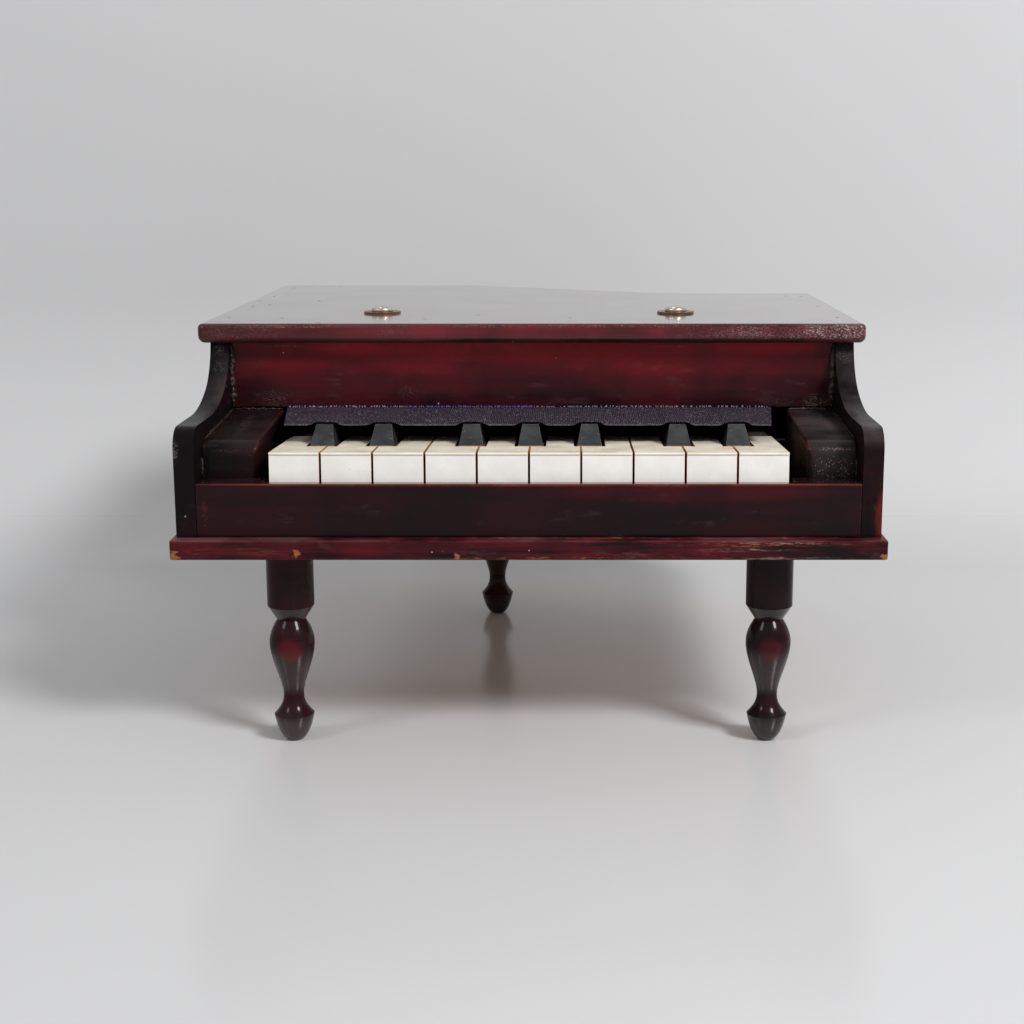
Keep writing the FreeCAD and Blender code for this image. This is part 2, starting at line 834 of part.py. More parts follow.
def make_plate_rails():
    """The slanting rails under the plates, from side to side of the case, and the felt strip on each."""
    felts = new_body("plate_felts")
    felts.AllowCompound = True
    felt_under = plate_under - s.plate_felt_thick
    strips = new_sketch(felts, "XY_Plane", felt_under)
    half = s.plate_rail_depth / 2
    for label, side in (("front_plate_rail", -1), ("back_plate_rail", 1)):
        left = rail_line(side, -inner_half)
        right = rail_line(side, inner_half)
        points = [(-inner_half, left - half), (inner_half, right - half)]
        points += [(inner_half, right + half), (-inner_half, left + half)]
        rail = new_body(label)
        sketch = new_sketch(rail, "XY_Plane", felt_under - s.plate_rail_height)
        draw(sketch, points)
        draw(strips, points)
        for x, y in plate_pin_places():
            if (y.number > strike_y.number) == (side > 0):
                draw_circle(sketch, x, y, s.plate_pin_bore)
                draw_circle(strips, x, y, s.plate_pin_bore)
        pad(rail, sketch, s.plate_rail_height)
    pad(felts, strips, s.plate_felt_thick)


def make_tone_plates():
    """The steel plates, each a little shorter than the last, and the pins that hold them to the rails."""
    body = new_body("tone_plates")
    body.AllowCompound = True
    sketch = new_sketch(body, "XY_Plane", plate_under)
    half = (slot_pitch - s.plate_gap) / 2
    for note in range(note_count):
        x = slot_centre(note)
        reach = plate_length(note) / 2
        corners = [(x - half, strike_y - reach), (x + half, strike_y - reach)]
        corners += [(x + half, strike_y + reach), (x - half, strike_y + reach)]
        draw(sketch, corners)
    for x, y in plate_pin_places():
        draw_circle(sketch, x, y, s.plate_pin_bore + s.plate_pin_play)
    pad(body, sketch, s.plate_thick)
    bottom = plate_under - s.plate_felt_thick - s.plate_rail_height
    length = plate_under + s.plate_thick + s.plate_pin_stand - bottom
    pins = [add_pin("plate_pin", x, y, bottom, length, s.plate_pin_bore) for x, y in plate_pin_places()]
    gather("plate_pins", pins)


make_base()
for leg, (leg_x, leg_y) in leg_places().items():
    make_leg(leg, leg_x, leg_y)
make_side_panel("left_side_panel", -s.case_width / 2, -inner_half, s.tail_back)
make_side_panel("right_side_panel", inner_half, inner_half, s.side_back)
make_bent_rim()
make_lid()
make_lid_pins()
make_eyelets()
make_key_slip()
make_key_block("left_key_block", -inner_half, block_left_face, block_left_face)
make_key_block("right_key_block", block_right_face, inner_half, block_right_face)
fallboard_back = s.fallboard_front + s.fallboard_thick
bar("fallboard", -inner_half, inner_half, s.fallboard_front, fallboard_back, fallboard_under, lid_under)
make_key_cloth()
make_wire("balance_wire", pivot_y, pivot_z)
make_wire("hammer_wire", hammer_y, hammer_z)
make_action_rails()
for note_number in range(note_count):
    if note_number in white_notes:
        make_white_key(note_number)
    else:
        make_black_key(note_number)
    make_hammer(note_number)
make_plate_rails()
make_tone_plates()
doc.recompute()

for item in doc.Objects:
    if "Invalid" in item.State or "Error" in item.State:
        raise RuntimeError(f"{item.Name} failed: {item.State}")
for node in nodes:
    if node.Shape.isNull() or not node.Shape.isValid():
        raise RuntimeError(f"{node.Label} has no valid shape")
os.makedirs("parts", exist_ok=True)
for node in nodes:
    node.Shape.exportStep(f"parts/{node.Label}.step")
    print(node.Label, "solids", len(node.Shape.Solids), "volume", round(node.Shape.Volume, 1))
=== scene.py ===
import json
import math
import random

import bmesh
import bpy
from mathutils import Matrix, Vector, noise
from mathutils.geometry import interpolate_bezier

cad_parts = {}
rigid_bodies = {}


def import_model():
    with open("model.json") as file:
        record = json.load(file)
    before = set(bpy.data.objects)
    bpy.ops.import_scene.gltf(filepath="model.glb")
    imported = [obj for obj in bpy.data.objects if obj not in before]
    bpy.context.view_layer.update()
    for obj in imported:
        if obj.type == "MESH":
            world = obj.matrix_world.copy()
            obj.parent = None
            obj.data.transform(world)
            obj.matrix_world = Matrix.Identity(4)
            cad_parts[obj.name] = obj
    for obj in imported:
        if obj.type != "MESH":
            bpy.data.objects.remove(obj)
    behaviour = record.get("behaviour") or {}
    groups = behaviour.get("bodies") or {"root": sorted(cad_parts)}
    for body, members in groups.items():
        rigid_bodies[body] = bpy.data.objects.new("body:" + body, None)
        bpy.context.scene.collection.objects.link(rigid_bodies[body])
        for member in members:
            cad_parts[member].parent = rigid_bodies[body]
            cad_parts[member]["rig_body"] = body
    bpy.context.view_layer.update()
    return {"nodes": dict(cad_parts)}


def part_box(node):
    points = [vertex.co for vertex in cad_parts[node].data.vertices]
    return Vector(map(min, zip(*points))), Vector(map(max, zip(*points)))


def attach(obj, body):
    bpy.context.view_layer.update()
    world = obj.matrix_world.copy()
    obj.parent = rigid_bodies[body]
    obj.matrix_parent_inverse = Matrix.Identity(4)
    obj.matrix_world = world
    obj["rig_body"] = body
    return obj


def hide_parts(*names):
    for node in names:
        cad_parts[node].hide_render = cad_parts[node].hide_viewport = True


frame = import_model()
nodes = frame["nodes"]
print("frame loaded:", len(nodes), "nodes")


# Node helpers: an input that is a socket gets linked, anything else is set
def feed(tree, node, name, value):
    if isinstance(value, bpy.types.NodeSocket):
        tree.links.new(value, node.inputs[name])
    else:
        node.inputs[name].default_value = value


def addNode(tree, kind, inputs=None, **props):
    node = tree.nodes.new("ShaderNode" + kind)
    for name, value in props.items():
        setattr(node, name, value)
    for name, value in (inputs or {}).items():
        feed(tree, node, name, value)
    return node


def calc(tree, operation, a, b=0.0, clamp=False):
    return addNode(tree, "Math", {0: a, 1: b}, operation=operation, use_clamp=clamp).outputs[0]


def times(tree, first, *others):
    for other in others:
        first = calc(tree, "MULTIPLY", first, other)
    return first


def plus(tree, first, *others):
    for other in others:
        first = calc(tree, "ADD", first, other)
    return first


def blend(tree, factor, a, b):
    return addNode(tree, "Mix", {0: factor, 6: a, 7: b}, data_type="RGBA").outputs[2]


def spread(tree, value, low, high, toLow=0.0, toHigh=1.0):
    inputs = {"Value": value, "From Min": low, "From Max": high, "To Min": toLow, "To Max": toHigh}
    return addNode(tree, "MapRange", inputs, interpolation_type="SMOOTHSTEP").outputs[0]


# The usual range of a noise, mapped to two values
noiseRange = (0.3, 0.7)


def vary(tree, value, toLow=0.0, toHigh=1.0):
    return spread(tree, value, *noiseRange, toLow, toHigh)


def clouds(tree, place, scale, detail=4.0, stretch=(1, 1, 1), rough=0.55):
    moved = addNode(tree, "Mapping", {"Vector": place, "Scale": stretch}).outputs[0]
    inputs = {"Vector": moved, "Scale": scale, "Detail": detail, "Roughness": rough}
    return addNode(tree, "TexNoise", inputs).outputs[0]


def coordinate(tree, vector, axis):
    return addNode(tree, "SeparateXYZ", {0: vector}).outputs[axis]


def arrisMask(tree):
    return addNode(tree, "Attribute", attribute_name="arris").outputs["Fac"]


def newMaterial(name):
    material = bpy.data.materials.new(name)
    material.use_nodes = True
    tree = material.node_tree
    tree.nodes.clear()
    shader = addNode(tree, "BsdfPrincipled")
    addNode(tree, "OutputMaterial", {"Surface": shader.outputs[0]})
    place = addNode(tree, "TexCoord").outputs["Object"]
    return material, tree, shader, place


def roughen(tree, shader, height, strength, depth):
    bump = addNode(tree, "Bump", {"Height": height, "Strength": strength, "Distance": depth})
    feed(tree, shader, "Normal", bump.outputs[0])


# Tiny dots scattered over a surface, solid over this part of their size
def specks(tree, place, scale, size, share, solid=0.6):
    cells = addNode(tree, "TexVoronoi", {"Vector": place, "Scale": scale})
    lucky = addNode(tree, "SeparateColor", {0: cells.outputs["Color"]}).outputs[0]
    near = spread(tree, cells.outputs["Distance"], size, size * solid)
    return times(tree, near, calc(tree, "LESS_THAN", lucky, share))


def distance(tree, place, centre, radii=(1, 1, 1)):
    scale = [1 / r for r in radii]
    back = [-c / r for c, r in zip(centre, radii)]
    moved = addNode(tree, "Mapping", {"Vector": place, "Scale": scale, "Location": back}).outputs[0]
    return addNode(tree, "VectorMath", {0: moved}, operation="LENGTH").outputs["Value"]


# A soft ellipsoid: 1 in its middle and 0 outside
def zone(tree, place, centre, radii, core=0.4):
    return spread(tree, distance(tree, place, centre, radii), 1.0, core)


# Mesh helpers
def roundOff(bm):
    bmesh.ops.recalc_face_normals(bm, faces=bm.faces)
    for face in bm.faces:
        face.smooth = True


def newPiece(bm, name):
    mesh = bpy.data.meshes.new(name)
    bm.to_mesh(mesh)
    bm.free()
    piece = bpy.data.objects.new(name, mesh)
    bpy.context.scene.collection.objects.link(piece)
    return piece


# Walls between rings of vertices, closed at both ends
def skin(bm, rings):
    faces = []
    for first, second in zip(rings, rings[1:]):
        for corner in range(len(first)):
            after = (corner + 1) % len(first)
            faces.append(bm.faces.new((first[corner], first[after], second[after], second[corner])))
    return faces + [bm.faces.new(ring) for ring in (rings[0], rings[-1])]


# Emptying the slots resets every face to the first, so the faces' slots are put back afterwards
def setMaterial(item, *materials):
    mesh = item.data
    kinds = [min(face.material_index, len(materials) - 1) for face in mesh.polygons]
    mesh.materials.clear()
    for material in materials:
        mesh.materials.append(material)
    mesh.polygons.foreach_set("material_index", kinds)


# Stained and lacquered wood. Lengths in metres, colours linear. A noise is scale, detail, stretch and roughness, and a
# cut is the range of a noise or a slope over which something sets in. Tints are smooth zones of another colour, marks
# are ragged ones, the painted glints are zones of pale specks that stand in for highlights, and dents are dull dark
# spots. Some tints and marks are painted light, painted shade and painted reflections, as said where they are given.
# What faces up can have a topShine of its own (coat and share of roughness), and what faces down a lowShine (coat)
lacquerLook = {
    "dark": (0.0080, 0.0034, 0.0042, 1),
    "red": (0.072, 0.0050, 0.0088, 1),
    "bright": (0.135, 0.0065, 0.0120, 1),
    "paintedLightCrimson": (0.40, 0.0150, 0.0280, 1),
    "bare": (0.40, 0.165, 0.055, 1),
    "rubbed": (0.125, 0.014, 0.014, 1),
    "pale": (0.42, 0.36, 0.33, 1),
    "blueChipsAndSheen": (0.13, 0.13, 0.155, 1),
    # This grey serves for dust, and also for the painted reflections and highlights given as tints and marks
    "dustAndSheen": (0.13, 0.115, 0.115, 1),
    "redShare": 0.35,
    "streaks": 0.45,
    "patches": 0.35,
    "grain": (0.06, 1, 1), "grainScale": 420.0, "grainDetail": 6, "grainRough": 0.6, "grainCut": (0.25, 0.75),
    "cloudScale": 22.0,
    "fine": (1500, 3),
    "breakup": (160, 5, (0.35, 1, 1), 0.65),
    "ragged": (620, 4, (0.5, 1, 1), 0.7),
    "scratch": (0.5, 1, 1), "scratchScale": 2000, "scratchRough": 0.75,
    "glow": None,
    "tints": [], "tintCut": (0.32, 0.62), "tintLeast": 0.3,
    "ornament": None,
    "edgeWear": 0.5,
    "arrisShare": 1.0,
    "rubs": [], "rubCut": (0.38, 0.62),
    "edgeBare": 0.66,
    "bareFade": 0.05,
    "marks": [], "markCore": 0.2,
    "scratchCut": (0.48, 0.64),
    "clusterCut": (0.42, 0.58), "clusterLeast": 0.2,
    "sparkles": [], "glintCore": 0.5, "glintDots": (1500, 0.28, 0.42),
    "chips": [], "chipCore": 0.7, "chipWobble": 7,
    "underside": None, "undersideCut": (-0.90, -0.98),
    "dustShare": 0.25, "dustCut": (0.42, 0.7), "dustSlope": (0.0, 0.9),
    "scuffs": 0.10, "scuffCut": (0.58, 0.74),
    "speckScale": 220.0, "speckSize": 0.085, "speckShare": 0.05, "speckStrength": 0.8,
    "dents": [], "dentCore": 0.5,
    "specular": 0.06,
    "gloss": 0.30, "glossDrift": (-0.08, 0.12),
    "wornRough": 0.2,
    "coat": 0.12, "coatRoughness": 0.10,
    "topShine": None, "topCut": (0.80, 0.97),
    "lowShine": None, "lowCut": (0.0, -0.30),
    "bump": 0.25, "bumpDepth": 0.0006,
    "relief": {"grain": 0.5, "fine": 0.25, "patches": 1.2},
}


def lacquerNoises(tree, place, look):
    return {
        "grain": clouds(tree, place, look["grainScale"], look["grainDetail"], look["grain"], look["grainRough"]),
        "patches": clouds(tree, place, look["cloudScale"]),
        "fine": clouds(tree, place, *look["fine"]),
        "breakup": clouds(tree, place, *look["breakup"]),
        "ragged": clouds(tree, place, *look["ragged"]),
        "scratch": clouds(tree, place, look["scratchScale"], stretch=look["scratch"], rough=look["scratchRough"]),
    }


# Dark to red by grain and patches, then the tints and an ornament. The glow and some of the tints are painted light and
# painted shade, as said where they are given
def stainAndPaintedLight(tree, place, look, noises):
    byGrain = spread(tree, noises["grain"], *look["grainCut"], -look["streaks"], look["streaks"])
    byPatch = vary(tree, noises["patches"], -look["patches"], look["patches"])
    share = plus(tree, byGrain, byPatch, look["redShare"])
    if look["glow"]:
        axis, low, high, amount = look["glow"]
        share = plus(tree, share, spread(tree, coordinate(tree, place, axis), low, high, 0.0, amount))
    colour = blend(tree, calc(tree, "ADD", share, 0.0, clamp=True), look["dark"], look["red"])
    for kind, amount, centre, radii in look["tints"]:
        strength = spread(tree, noises["patches"], *look["tintCut"], amount * look["tintLeast"], amount)
        colour = blend(tree, times(tree, zone(tree, place, centre, radii), strength), colour, look[kind])
    if look["ornament"]:
        border = ornament(tree, place, look["ornament"], noises["ragged"])
        colour = blend(tree, border, colour, look["ornament"]["colour"])
    return colour


# Rubbed edges: the rounded arrises carry an attribute, and long edges are given as rubs
def rubEdges(tree, place, look, noises, upward, colour):
    edge = times(tree, arrisMask(tree), look["arrisShare"])
    for axis, level, width, amount in look["rubs"]:
        away = calc(tree, "ABSOLUTE", calc(tree, "SUBTRACT", coordinate(tree, place, axis), level))
        edge = calc(tree, "MAXIMUM", edge, spread(tree, away, width, 0.0, 0.0, amount))
    if look["topShine"]:
        edge = times(tree, edge, spread(tree, upward, *reversed(look["topCut"])))
    worn = times(tree, edge, spread(tree, noises["breakup"], *look["rubCut"]))
    colour = blend(tree, times(tree, worn, look["edgeWear"]), colour, look["rubbed"])
    bareCut = (look["edgeBare"], look["edgeBare"] + look["bareFade"])
    through = times(tree, edge, spread(tree, noises["breakup"], *bareCut))
    return blend(tree, times(tree, through, look["edgeWear"]), colour, look["bare"]), worn


# Scratched marks, painted glints and chips. Some of the marks are painted highlights, as said where they are given
def scratchesGlintsAndChips(tree, place, look, noises, colour):
    clusters = spread(tree, noises["breakup"], *look["clusterCut"], look["clusterLeast"], 1.0)
    scratched = times(tree, spread(tree, noises["scratch"], *look["scratchCut"]), clusters)
    for kind, amount, centre, radii in look["marks"]:
        here = times(tree, zone(tree, place, centre, radii, look["markCore"]), scratched, amount)
        colour = blend(tree, here, colour, look[kind])
    # Painted glints: pale specks in zones, standing in for highlights on bumpy lacquer
    for amount, centre, radii in look["sparkles"]:
        dots = specks(tree, place, *look["glintDots"])
        here = times(tree, zone(tree, place, centre, radii, look["glintCore"]), dots, amount)
        colour = blend(tree, here, colour, look["pale"])
    for *centre, radius in look["chips"]:
        wobble = times(tree, calc(tree, "SUBTRACT", noises["ragged"], 0.5), radius * look["chipWobble"])
        away = plus(tree, distance(tree, place, centre), wobble)
        chip = spread(tree, away, radius, radius * look["chipCore"])
        colour = blend(tree, chip, colour, blend(tree, noises["ragged"], look["rubbed"], look["bare"]))
    return colour


# Dust lies in faint patches on what faces up, with scuffs and specks anywhere. The underside can be bare
def soil(tree, place, look, noises, upward, colour):
    if look["underside"]:
        unfinished = blend(tree, vary(tree, noises["grain"]), look["underside"], look["bare"])
        colour = blend(tree, spread(tree, upward, *look["undersideCut"]), colour, unfinished)
    dusty = times(tree, spread(tree, upward, *look["dustSlope"]), spread(tree, noises["patches"], *look["dustCut"]))
    dusty = times(tree, dusty, look["dustShare"])
    scuffed = times(tree, spread(tree, noises["breakup"], *look["scuffCut"]), look["scuffs"])
    dots = specks(tree, place, look["speckScale"], look["speckSize"], look["speckShare"])
    colour = blend(tree, calc(tree, "MAXIMUM", dusty, scuffed), colour, look["dustAndSheen"])
    return blend(tree, times(tree, dots, look["speckStrength"]), colour, look["pale"])


def dentMask(tree, place, look):
    pits = None
    for centre, radii in look["dents"]:
        here = zone(tree, place, centre, radii, look["dentCore"])
        pits = here if pits is None else calc(tree, "MAXIMUM", pits, here)
    return pits


def lacquer(name, **changes):
    look = dict(lacquerLook, **changes)
    material, tree, shader, place = newMaterial(name)
    noises = lacquerNoises(tree, place, look)
    upward = coordinate(tree, addNode(tree, "NewGeometry").outputs["Normal"], 2)
    colour = stainAndPaintedLight(tree, place, look, noises)
    colour, worn = rubEdges(tree, place, look, noises, upward, colour)
    colour = scratchesGlintsAndChips(tree, place, look, noises, colour)
    colour = soil(tree, place, look, noises, upward, colour)
    pits = dentMask(tree, place, look)
    if pits:
        colour = blend(tree, pits, colour, look["dark"])
    feed(tree, shader, "Base Color", colour)

    rough = vary(tree, noises["patches"], *(look["gloss"] + drift for drift in look["glossDrift"]))
    rough = calc(tree, "ADD", rough, times(tree, worn, look["wornRough"]), clamp=True)
    coat = look["coat"]
    if look["topShine"]:
        topCoat, topRough = look["topShine"]
        shine = spread(tree, upward, *look["topCut"])
        if pits:
            shine = times(tree, shine, calc(tree, "SUBTRACT", 1.0, pits))
        coat = spread(tree, shine, 0.0, 1.0, coat, topCoat)
        rough = times(tree, rough, spread(tree, shine, 0.0, 1.0, 1.0, topRough))
    if look["lowShine"]:
        coat = spread(tree, upward, *look["lowCut"], coat, look["lowShine"])
    feed(tree, shader, "Roughness", rough)
    feed(tree, shader, "Specular IOR Level", look["specular"])
    feed(tree, shader, "Coat Weight", coat)
    feed(tree, shader, "Coat Roughness", look["coatRoughness"])
    height = plus(tree, *(times(tree, noises[kind], share) for kind, share in look["relief"].items()))
    roughen(tree, shader, height, look["bump"], look["bumpDepth"])
    return material


# A worn oval border of plain and scalloped lines. Each ring has its level, the depth of its scallops, and its width
def ornament(tree, place, look, ragged):
    x, y = look["centre"]
    wide, deep = look["half"]
    inputs = {"Vector": place, "Scale": (1 / wide, 1 / deep, 0.0), "Location": (-x / wide, -y / deep, 0)}
    moved = addNode(tree, "Mapping", inputs).outputs[0]
    reach = addNode(tree, "VectorMath", {0: moved}, operation="LENGTH").outputs["Value"]
    turn = calc(tree, "ARCTAN2", coordinate(tree, moved, 1), coordinate(tree, moved, 0))
    lobes = calc(tree, "ABSOLUTE", calc(tree, "SINE", times(tree, turn, look["scallops"] / 2)))
    lines = None
    for level, wave, width in look["rings"]:
        ring = calc(tree, "SUBTRACT", calc(tree, "SUBTRACT", reach, times(tree, lobes, wave)), level)
        ring = spread(tree, calc(tree, "ABSOLUTE", ring), width, width * look["core"])
        lines = ring if lines is None else calc(tree, "MAXIMUM", lines, ring)
    return times(tree, lines, spread(tree, ragged, *look["fadeCut"], 0.0, look["strength"]))


# Bare wood, used inside and for the key sticks
woodLook = {
    "fibres": (600.0, 6), "fibreRough": 0.65,
    "stains": (40, 3), "stainCut": (0.5, 0.75), "stainShare": 0.5,
    "rough": (0.55, 0.75),
    "bump": (0.35, 0.0004),
}


def bareWood(name, light, dark, grain=(1, 0.05, 1)):
    material, tree, shader, place = newMaterial(name)
    fibres = clouds(tree, place, *woodLook["fibres"], grain, woodLook["fibreRough"])
    stains = clouds(tree, place, *woodLook["stains"])
    colour = blend(tree, vary(tree, fibres), dark, light)
    stained = spread(tree, stains, *woodLook["stainCut"], 0.0, woodLook["stainShare"])
    feed(tree, shader, "Base Color", blend(tree, stained, colour, dark))
    feed(tree, shader, "Roughness", vary(tree, fibres, *woodLook["rough"]))
    roughen(tree, shader, fibres, *woodLook["bump"])
    return material


# Celluloid key tops: cream, with brown dirt that gathers in patches and at the arrises
ivoryLook = {
    "cream": (0.78, 0.685, 0.55, 1),
    "pale": (0.84, 0.755, 0.635, 1),
    "dirt": (0.40, 0.24, 0.10, 1),
    "drift": (70, 4), "driftCut": (0.35, 0.65),
    "streaks": (260, 5, (1, 0.12, 1), 0.6), "streakCut": (0.56, 0.78), "streakShare": 0.22,
    "dirtCut": (0.40, 0.62), "dirtShare": (0.15, 0.40),
    "rough": (0.28, 0.42),
    "coat": 0.25, "coatRoughness": 0.2,
    "streakRelief": 0.2,
    "bump": (0.12, 0.0005),
}


def ivory(name):
    look = ivoryLook
    material, tree, shader, place = newMaterial(name)
    drift = clouds(tree, place, *look["drift"])
    streaks = clouds(tree, place, *look["streaks"])
    colour = blend(tree, spread(tree, drift, *look["driftCut"]), look["cream"], look["pale"])
    streaked = spread(tree, streaks, *look["streakCut"], 0.0, look["streakShare"])
    colour = blend(tree, streaked, colour, look["dirt"])
    grime = times(tree, arrisMask(tree), spread(tree, drift, *look["dirtCut"], *look["dirtShare"]))
    feed(tree, shader, "Base Color", blend(tree, grime, colour, look["dirt"]))
    feed(tree, shader, "Roughness", vary(tree, drift, *look["rough"]))
    feed(tree, shader, "Coat Weight", look["coat"])
    feed(tree, shader, "Coat Roughness", look["coatRoughness"])
    roughen(tree, shader, plus(tree, drift, times(tree, streaks, look["streakRelief"])), *look["bump"])
    return material


# White fronts of the naturals
frontLook = {
    "dull": (0.71, 0.68, 0.64, 1),
    "white": (0.76, 0.73, 0.69, 1),
    "spot": (0.45, 0.36, 0.26, 1),
    "edge": (0.45, 0.30, 0.15, 1),
    "drift": (120, 4), "driftCut": (0.35, 0.7),
    "spots": (900, 2), "spotCut": (0.70, 0.76), "spotShare": 0.5,
    "edgeShare": 0.25,
    "rough": (0.35, 0.5),
    "bump": (0.1, 0.0004),
}


def paintedFront(name):
    look = frontLook
    material, tree, shader, place = newMaterial(name)
    drift = clouds(tree, place, *look["drift"])
    spots = clouds(tree, place, *look["spots"])
    colour = blend(tree, spread(tree, drift, *look["driftCut"]), look["dull"], look["white"])
    spotted = spread(tree, spots, *look["spotCut"], 0.0, look["spotShare"])
    colour = blend(tree, spotted, colour, look["spot"])
    colour = blend(tree, times(tree, arrisMask(tree), look["edgeShare"]), colour, look["edge"])
    feed(tree, shader, "Base Color", colour)
    feed(tree, shader, "Roughness", vary(tree, drift, *look["rough"]))
    roughen(tree, shader, drift, *look["bump"])
    return material


# Ebonised sharps: charcoal paint, pale along the arrises, partly as rubbed paint and partly as a painted highlight
sharpLook = {
    "black": (0.008, 0.008, 0.010, 1),
    "charcoal": (0.020, 0.022, 0.024, 1),
    "rubbed": (0.30, 0.28, 0.25, 1),
    "drift": (130, 4), "driftCut": (0.35, 0.7),
    "rub": (420, 5), "rubCut": (0.38, 0.6), "rubShare": (0.30, 0.95),
    "scratches": (900, 4, (0.5, 1, 0.5), 0.75),
    "scratchCut": (0.60, 0.72), "scratchShare": 0.35,
    "rough": (0.30, 0.48),
    "coat": 0.2, "coatRoughness": 0.25,
    "rubRelief": 0.3,
    "bump": (0.2, 0.0006),
}


def ebonised(name):
    look = sharpLook
    material, tree, shader, place = newMaterial(name)
    drift = clouds(tree, place, *look["drift"])
    rub = clouds(tree, place, *look["rub"])
    colour = blend(tree, spread(tree, drift, *look["driftCut"]), look["black"], look["charcoal"])
    worn = times(tree, arrisMask(tree), spread(tree, rub, *look["rubCut"], *look["rubShare"]))
    scratches = clouds(tree, place, *look["scratches"])
    scratched = spread(tree, scratches, *look["scratchCut"], 0.0, look["scratchShare"])
    colour = blend(tree, calc(tree, "MAXIMUM", worn, scratched), colour, look["rubbed"])
    feed(tree, shader, "Base Color", colour)
    feed(tree, shader, "Roughness", vary(tree, drift, *look["rough"]))
    feed(tree, shader, "Coat Weight", look["coat"])
    feed(tree, shader, "Coat Roughness", look["coatRoughness"])
    roughen(tree, shader, plus(tree, drift, times(tree, rub, look["rubRelief"])), *look["bump"])
    return material


# Metals, with tarnish. A brown is a colour and the height that it lies below
metalLook = {
    "drift": (240, 5), "driftCut": (0.4, 0.75),
    "scratches": (900, 3, (0.2, 1, 1)),
    "roughDrift": 0.2,
    "brownFade": 0.0006, "brownShare": 0.9,
    "bump": (0.12, 0.0003),
}


def metal(name, bright, tarnish, rough, share, brown=None):
    look = metalLook
    material, tree, shader, place = newMaterial(name)
    drift = clouds(tree, place, *look["drift"])
    scratches = clouds(tree, place, *look["scratches"])
    colour = blend(tree, spread(tree, drift, *look["driftCut"], 0.0, share), bright, tarnish)
    if brown:
        tone, level = brown
        height = coordinate(tree, place, 2)
        below = spread(tree, height, level + look["brownFade"], level, 0.0, look["brownShare"])
        colour = blend(tree, below, colour, tone)
    feed(tree, shader, "Base Color", colour)
    feed(tree, shader, "Metallic", 1.0)
    feed(tree, shader, "Roughness", vary(tree, drift, rough, rough + look["roughDrift"]))
    roughen(tree, shader, scratches, *look["bump"])
    return material


# Pressed wool felt
feltLook = {
    "hairs": (1400, 6, (1, 1, 1), 0.7), "hairCut": (0.2, 0.8),
    "drift": (90, 3), "driftCut": (0.4, 0.8), "driftShare": 0.4,
    "rough": (0.85, 1.0),
    "sheen": 0.3,
    "bump": (0.6, 0.0008),
}


def felt(name, light, dark):
    look = feltLook
    material, tree, shader, place = newMaterial(name)
    hairs = clouds(tree, place, *look["hairs"])
    drift = clouds(tree, place, *look["drift"])
    colour = blend(tree, vary(tree, hairs), dark, light)
    faded = spread(tree, drift, *look["driftCut"], 0.0, look["driftShare"])
    feed(tree, shader, "Base Color", blend(tree, faded, colour, dark))
    feed(tree, shader, "Roughness", spread(tree, hairs, *look["hairCut"], *look["rough"]))
    feed(tree, shader, "Sheen Weight", look["sheen"])
    roughen(tree, shader, hairs, *look["bump"])
    return material


# A copy of a CAD node with its arrises rounded over. The rounded strips carry the attribute "arris"
softLook = {
    "merge": 2e-6,
    "flat": math.radians(1),
    "least": math.radians(25),
    "crease": math.radians(40),
}


def softened(name, width, segments=3, sortFace=None):
    bm = bmesh.new()
    bm.from_mesh(nodes[name].data)
    arris = bm.faces.layers.float.new("arris")
    bmesh.ops.remove_doubles(bm, verts=bm.verts, dist=softLook["merge"])
    bmesh.ops.dissolve_limit(bm, angle_limit=softLook["flat"], verts=bm.verts, edges=bm.edges)
    sharp = [e for e in bm.edges if e.is_manifold and e.calc_face_angle(0) > softLook["least"]]
    made = bmesh.ops.bevel(bm, geom=sharp, offset=width, offset_type="OFFSET", segments=segments, profile=0.5,
                           affect="EDGES", clamp_overlap=True, material=-1, loop_slide=True)
    for face in made["faces"]:
        face[arris] = 1.0
    for face in bm.faces:
        face.smooth = True
        if sortFace:
            face.material_index = sortFace(face)
    piece = newPiece(bm, name + "_soft")
    piece.data.set_sharp_from_angle(angle=softLook["crease"])
    normals = piece.modifiers.new("faceNormals", "WEIGHTED_NORMAL")
    normals.keep_sharp = True
    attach(piece, nodes[name]["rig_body"])
    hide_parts(name)
    return piece


# Case
caseWood = {
    "panelWidth": 0.0011,
    "railWidth": 0.0007,
    "blockWidth": 0.0012,
    "fallboardWidth": 0.0006,
}
lidFront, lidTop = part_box("lid")[0].y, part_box("lid")[1].z
baseLow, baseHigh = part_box("base_board")
armFront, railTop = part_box("front_rail")[0].y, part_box("front_rail")[1].z
fallLow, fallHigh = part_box("fallboard")

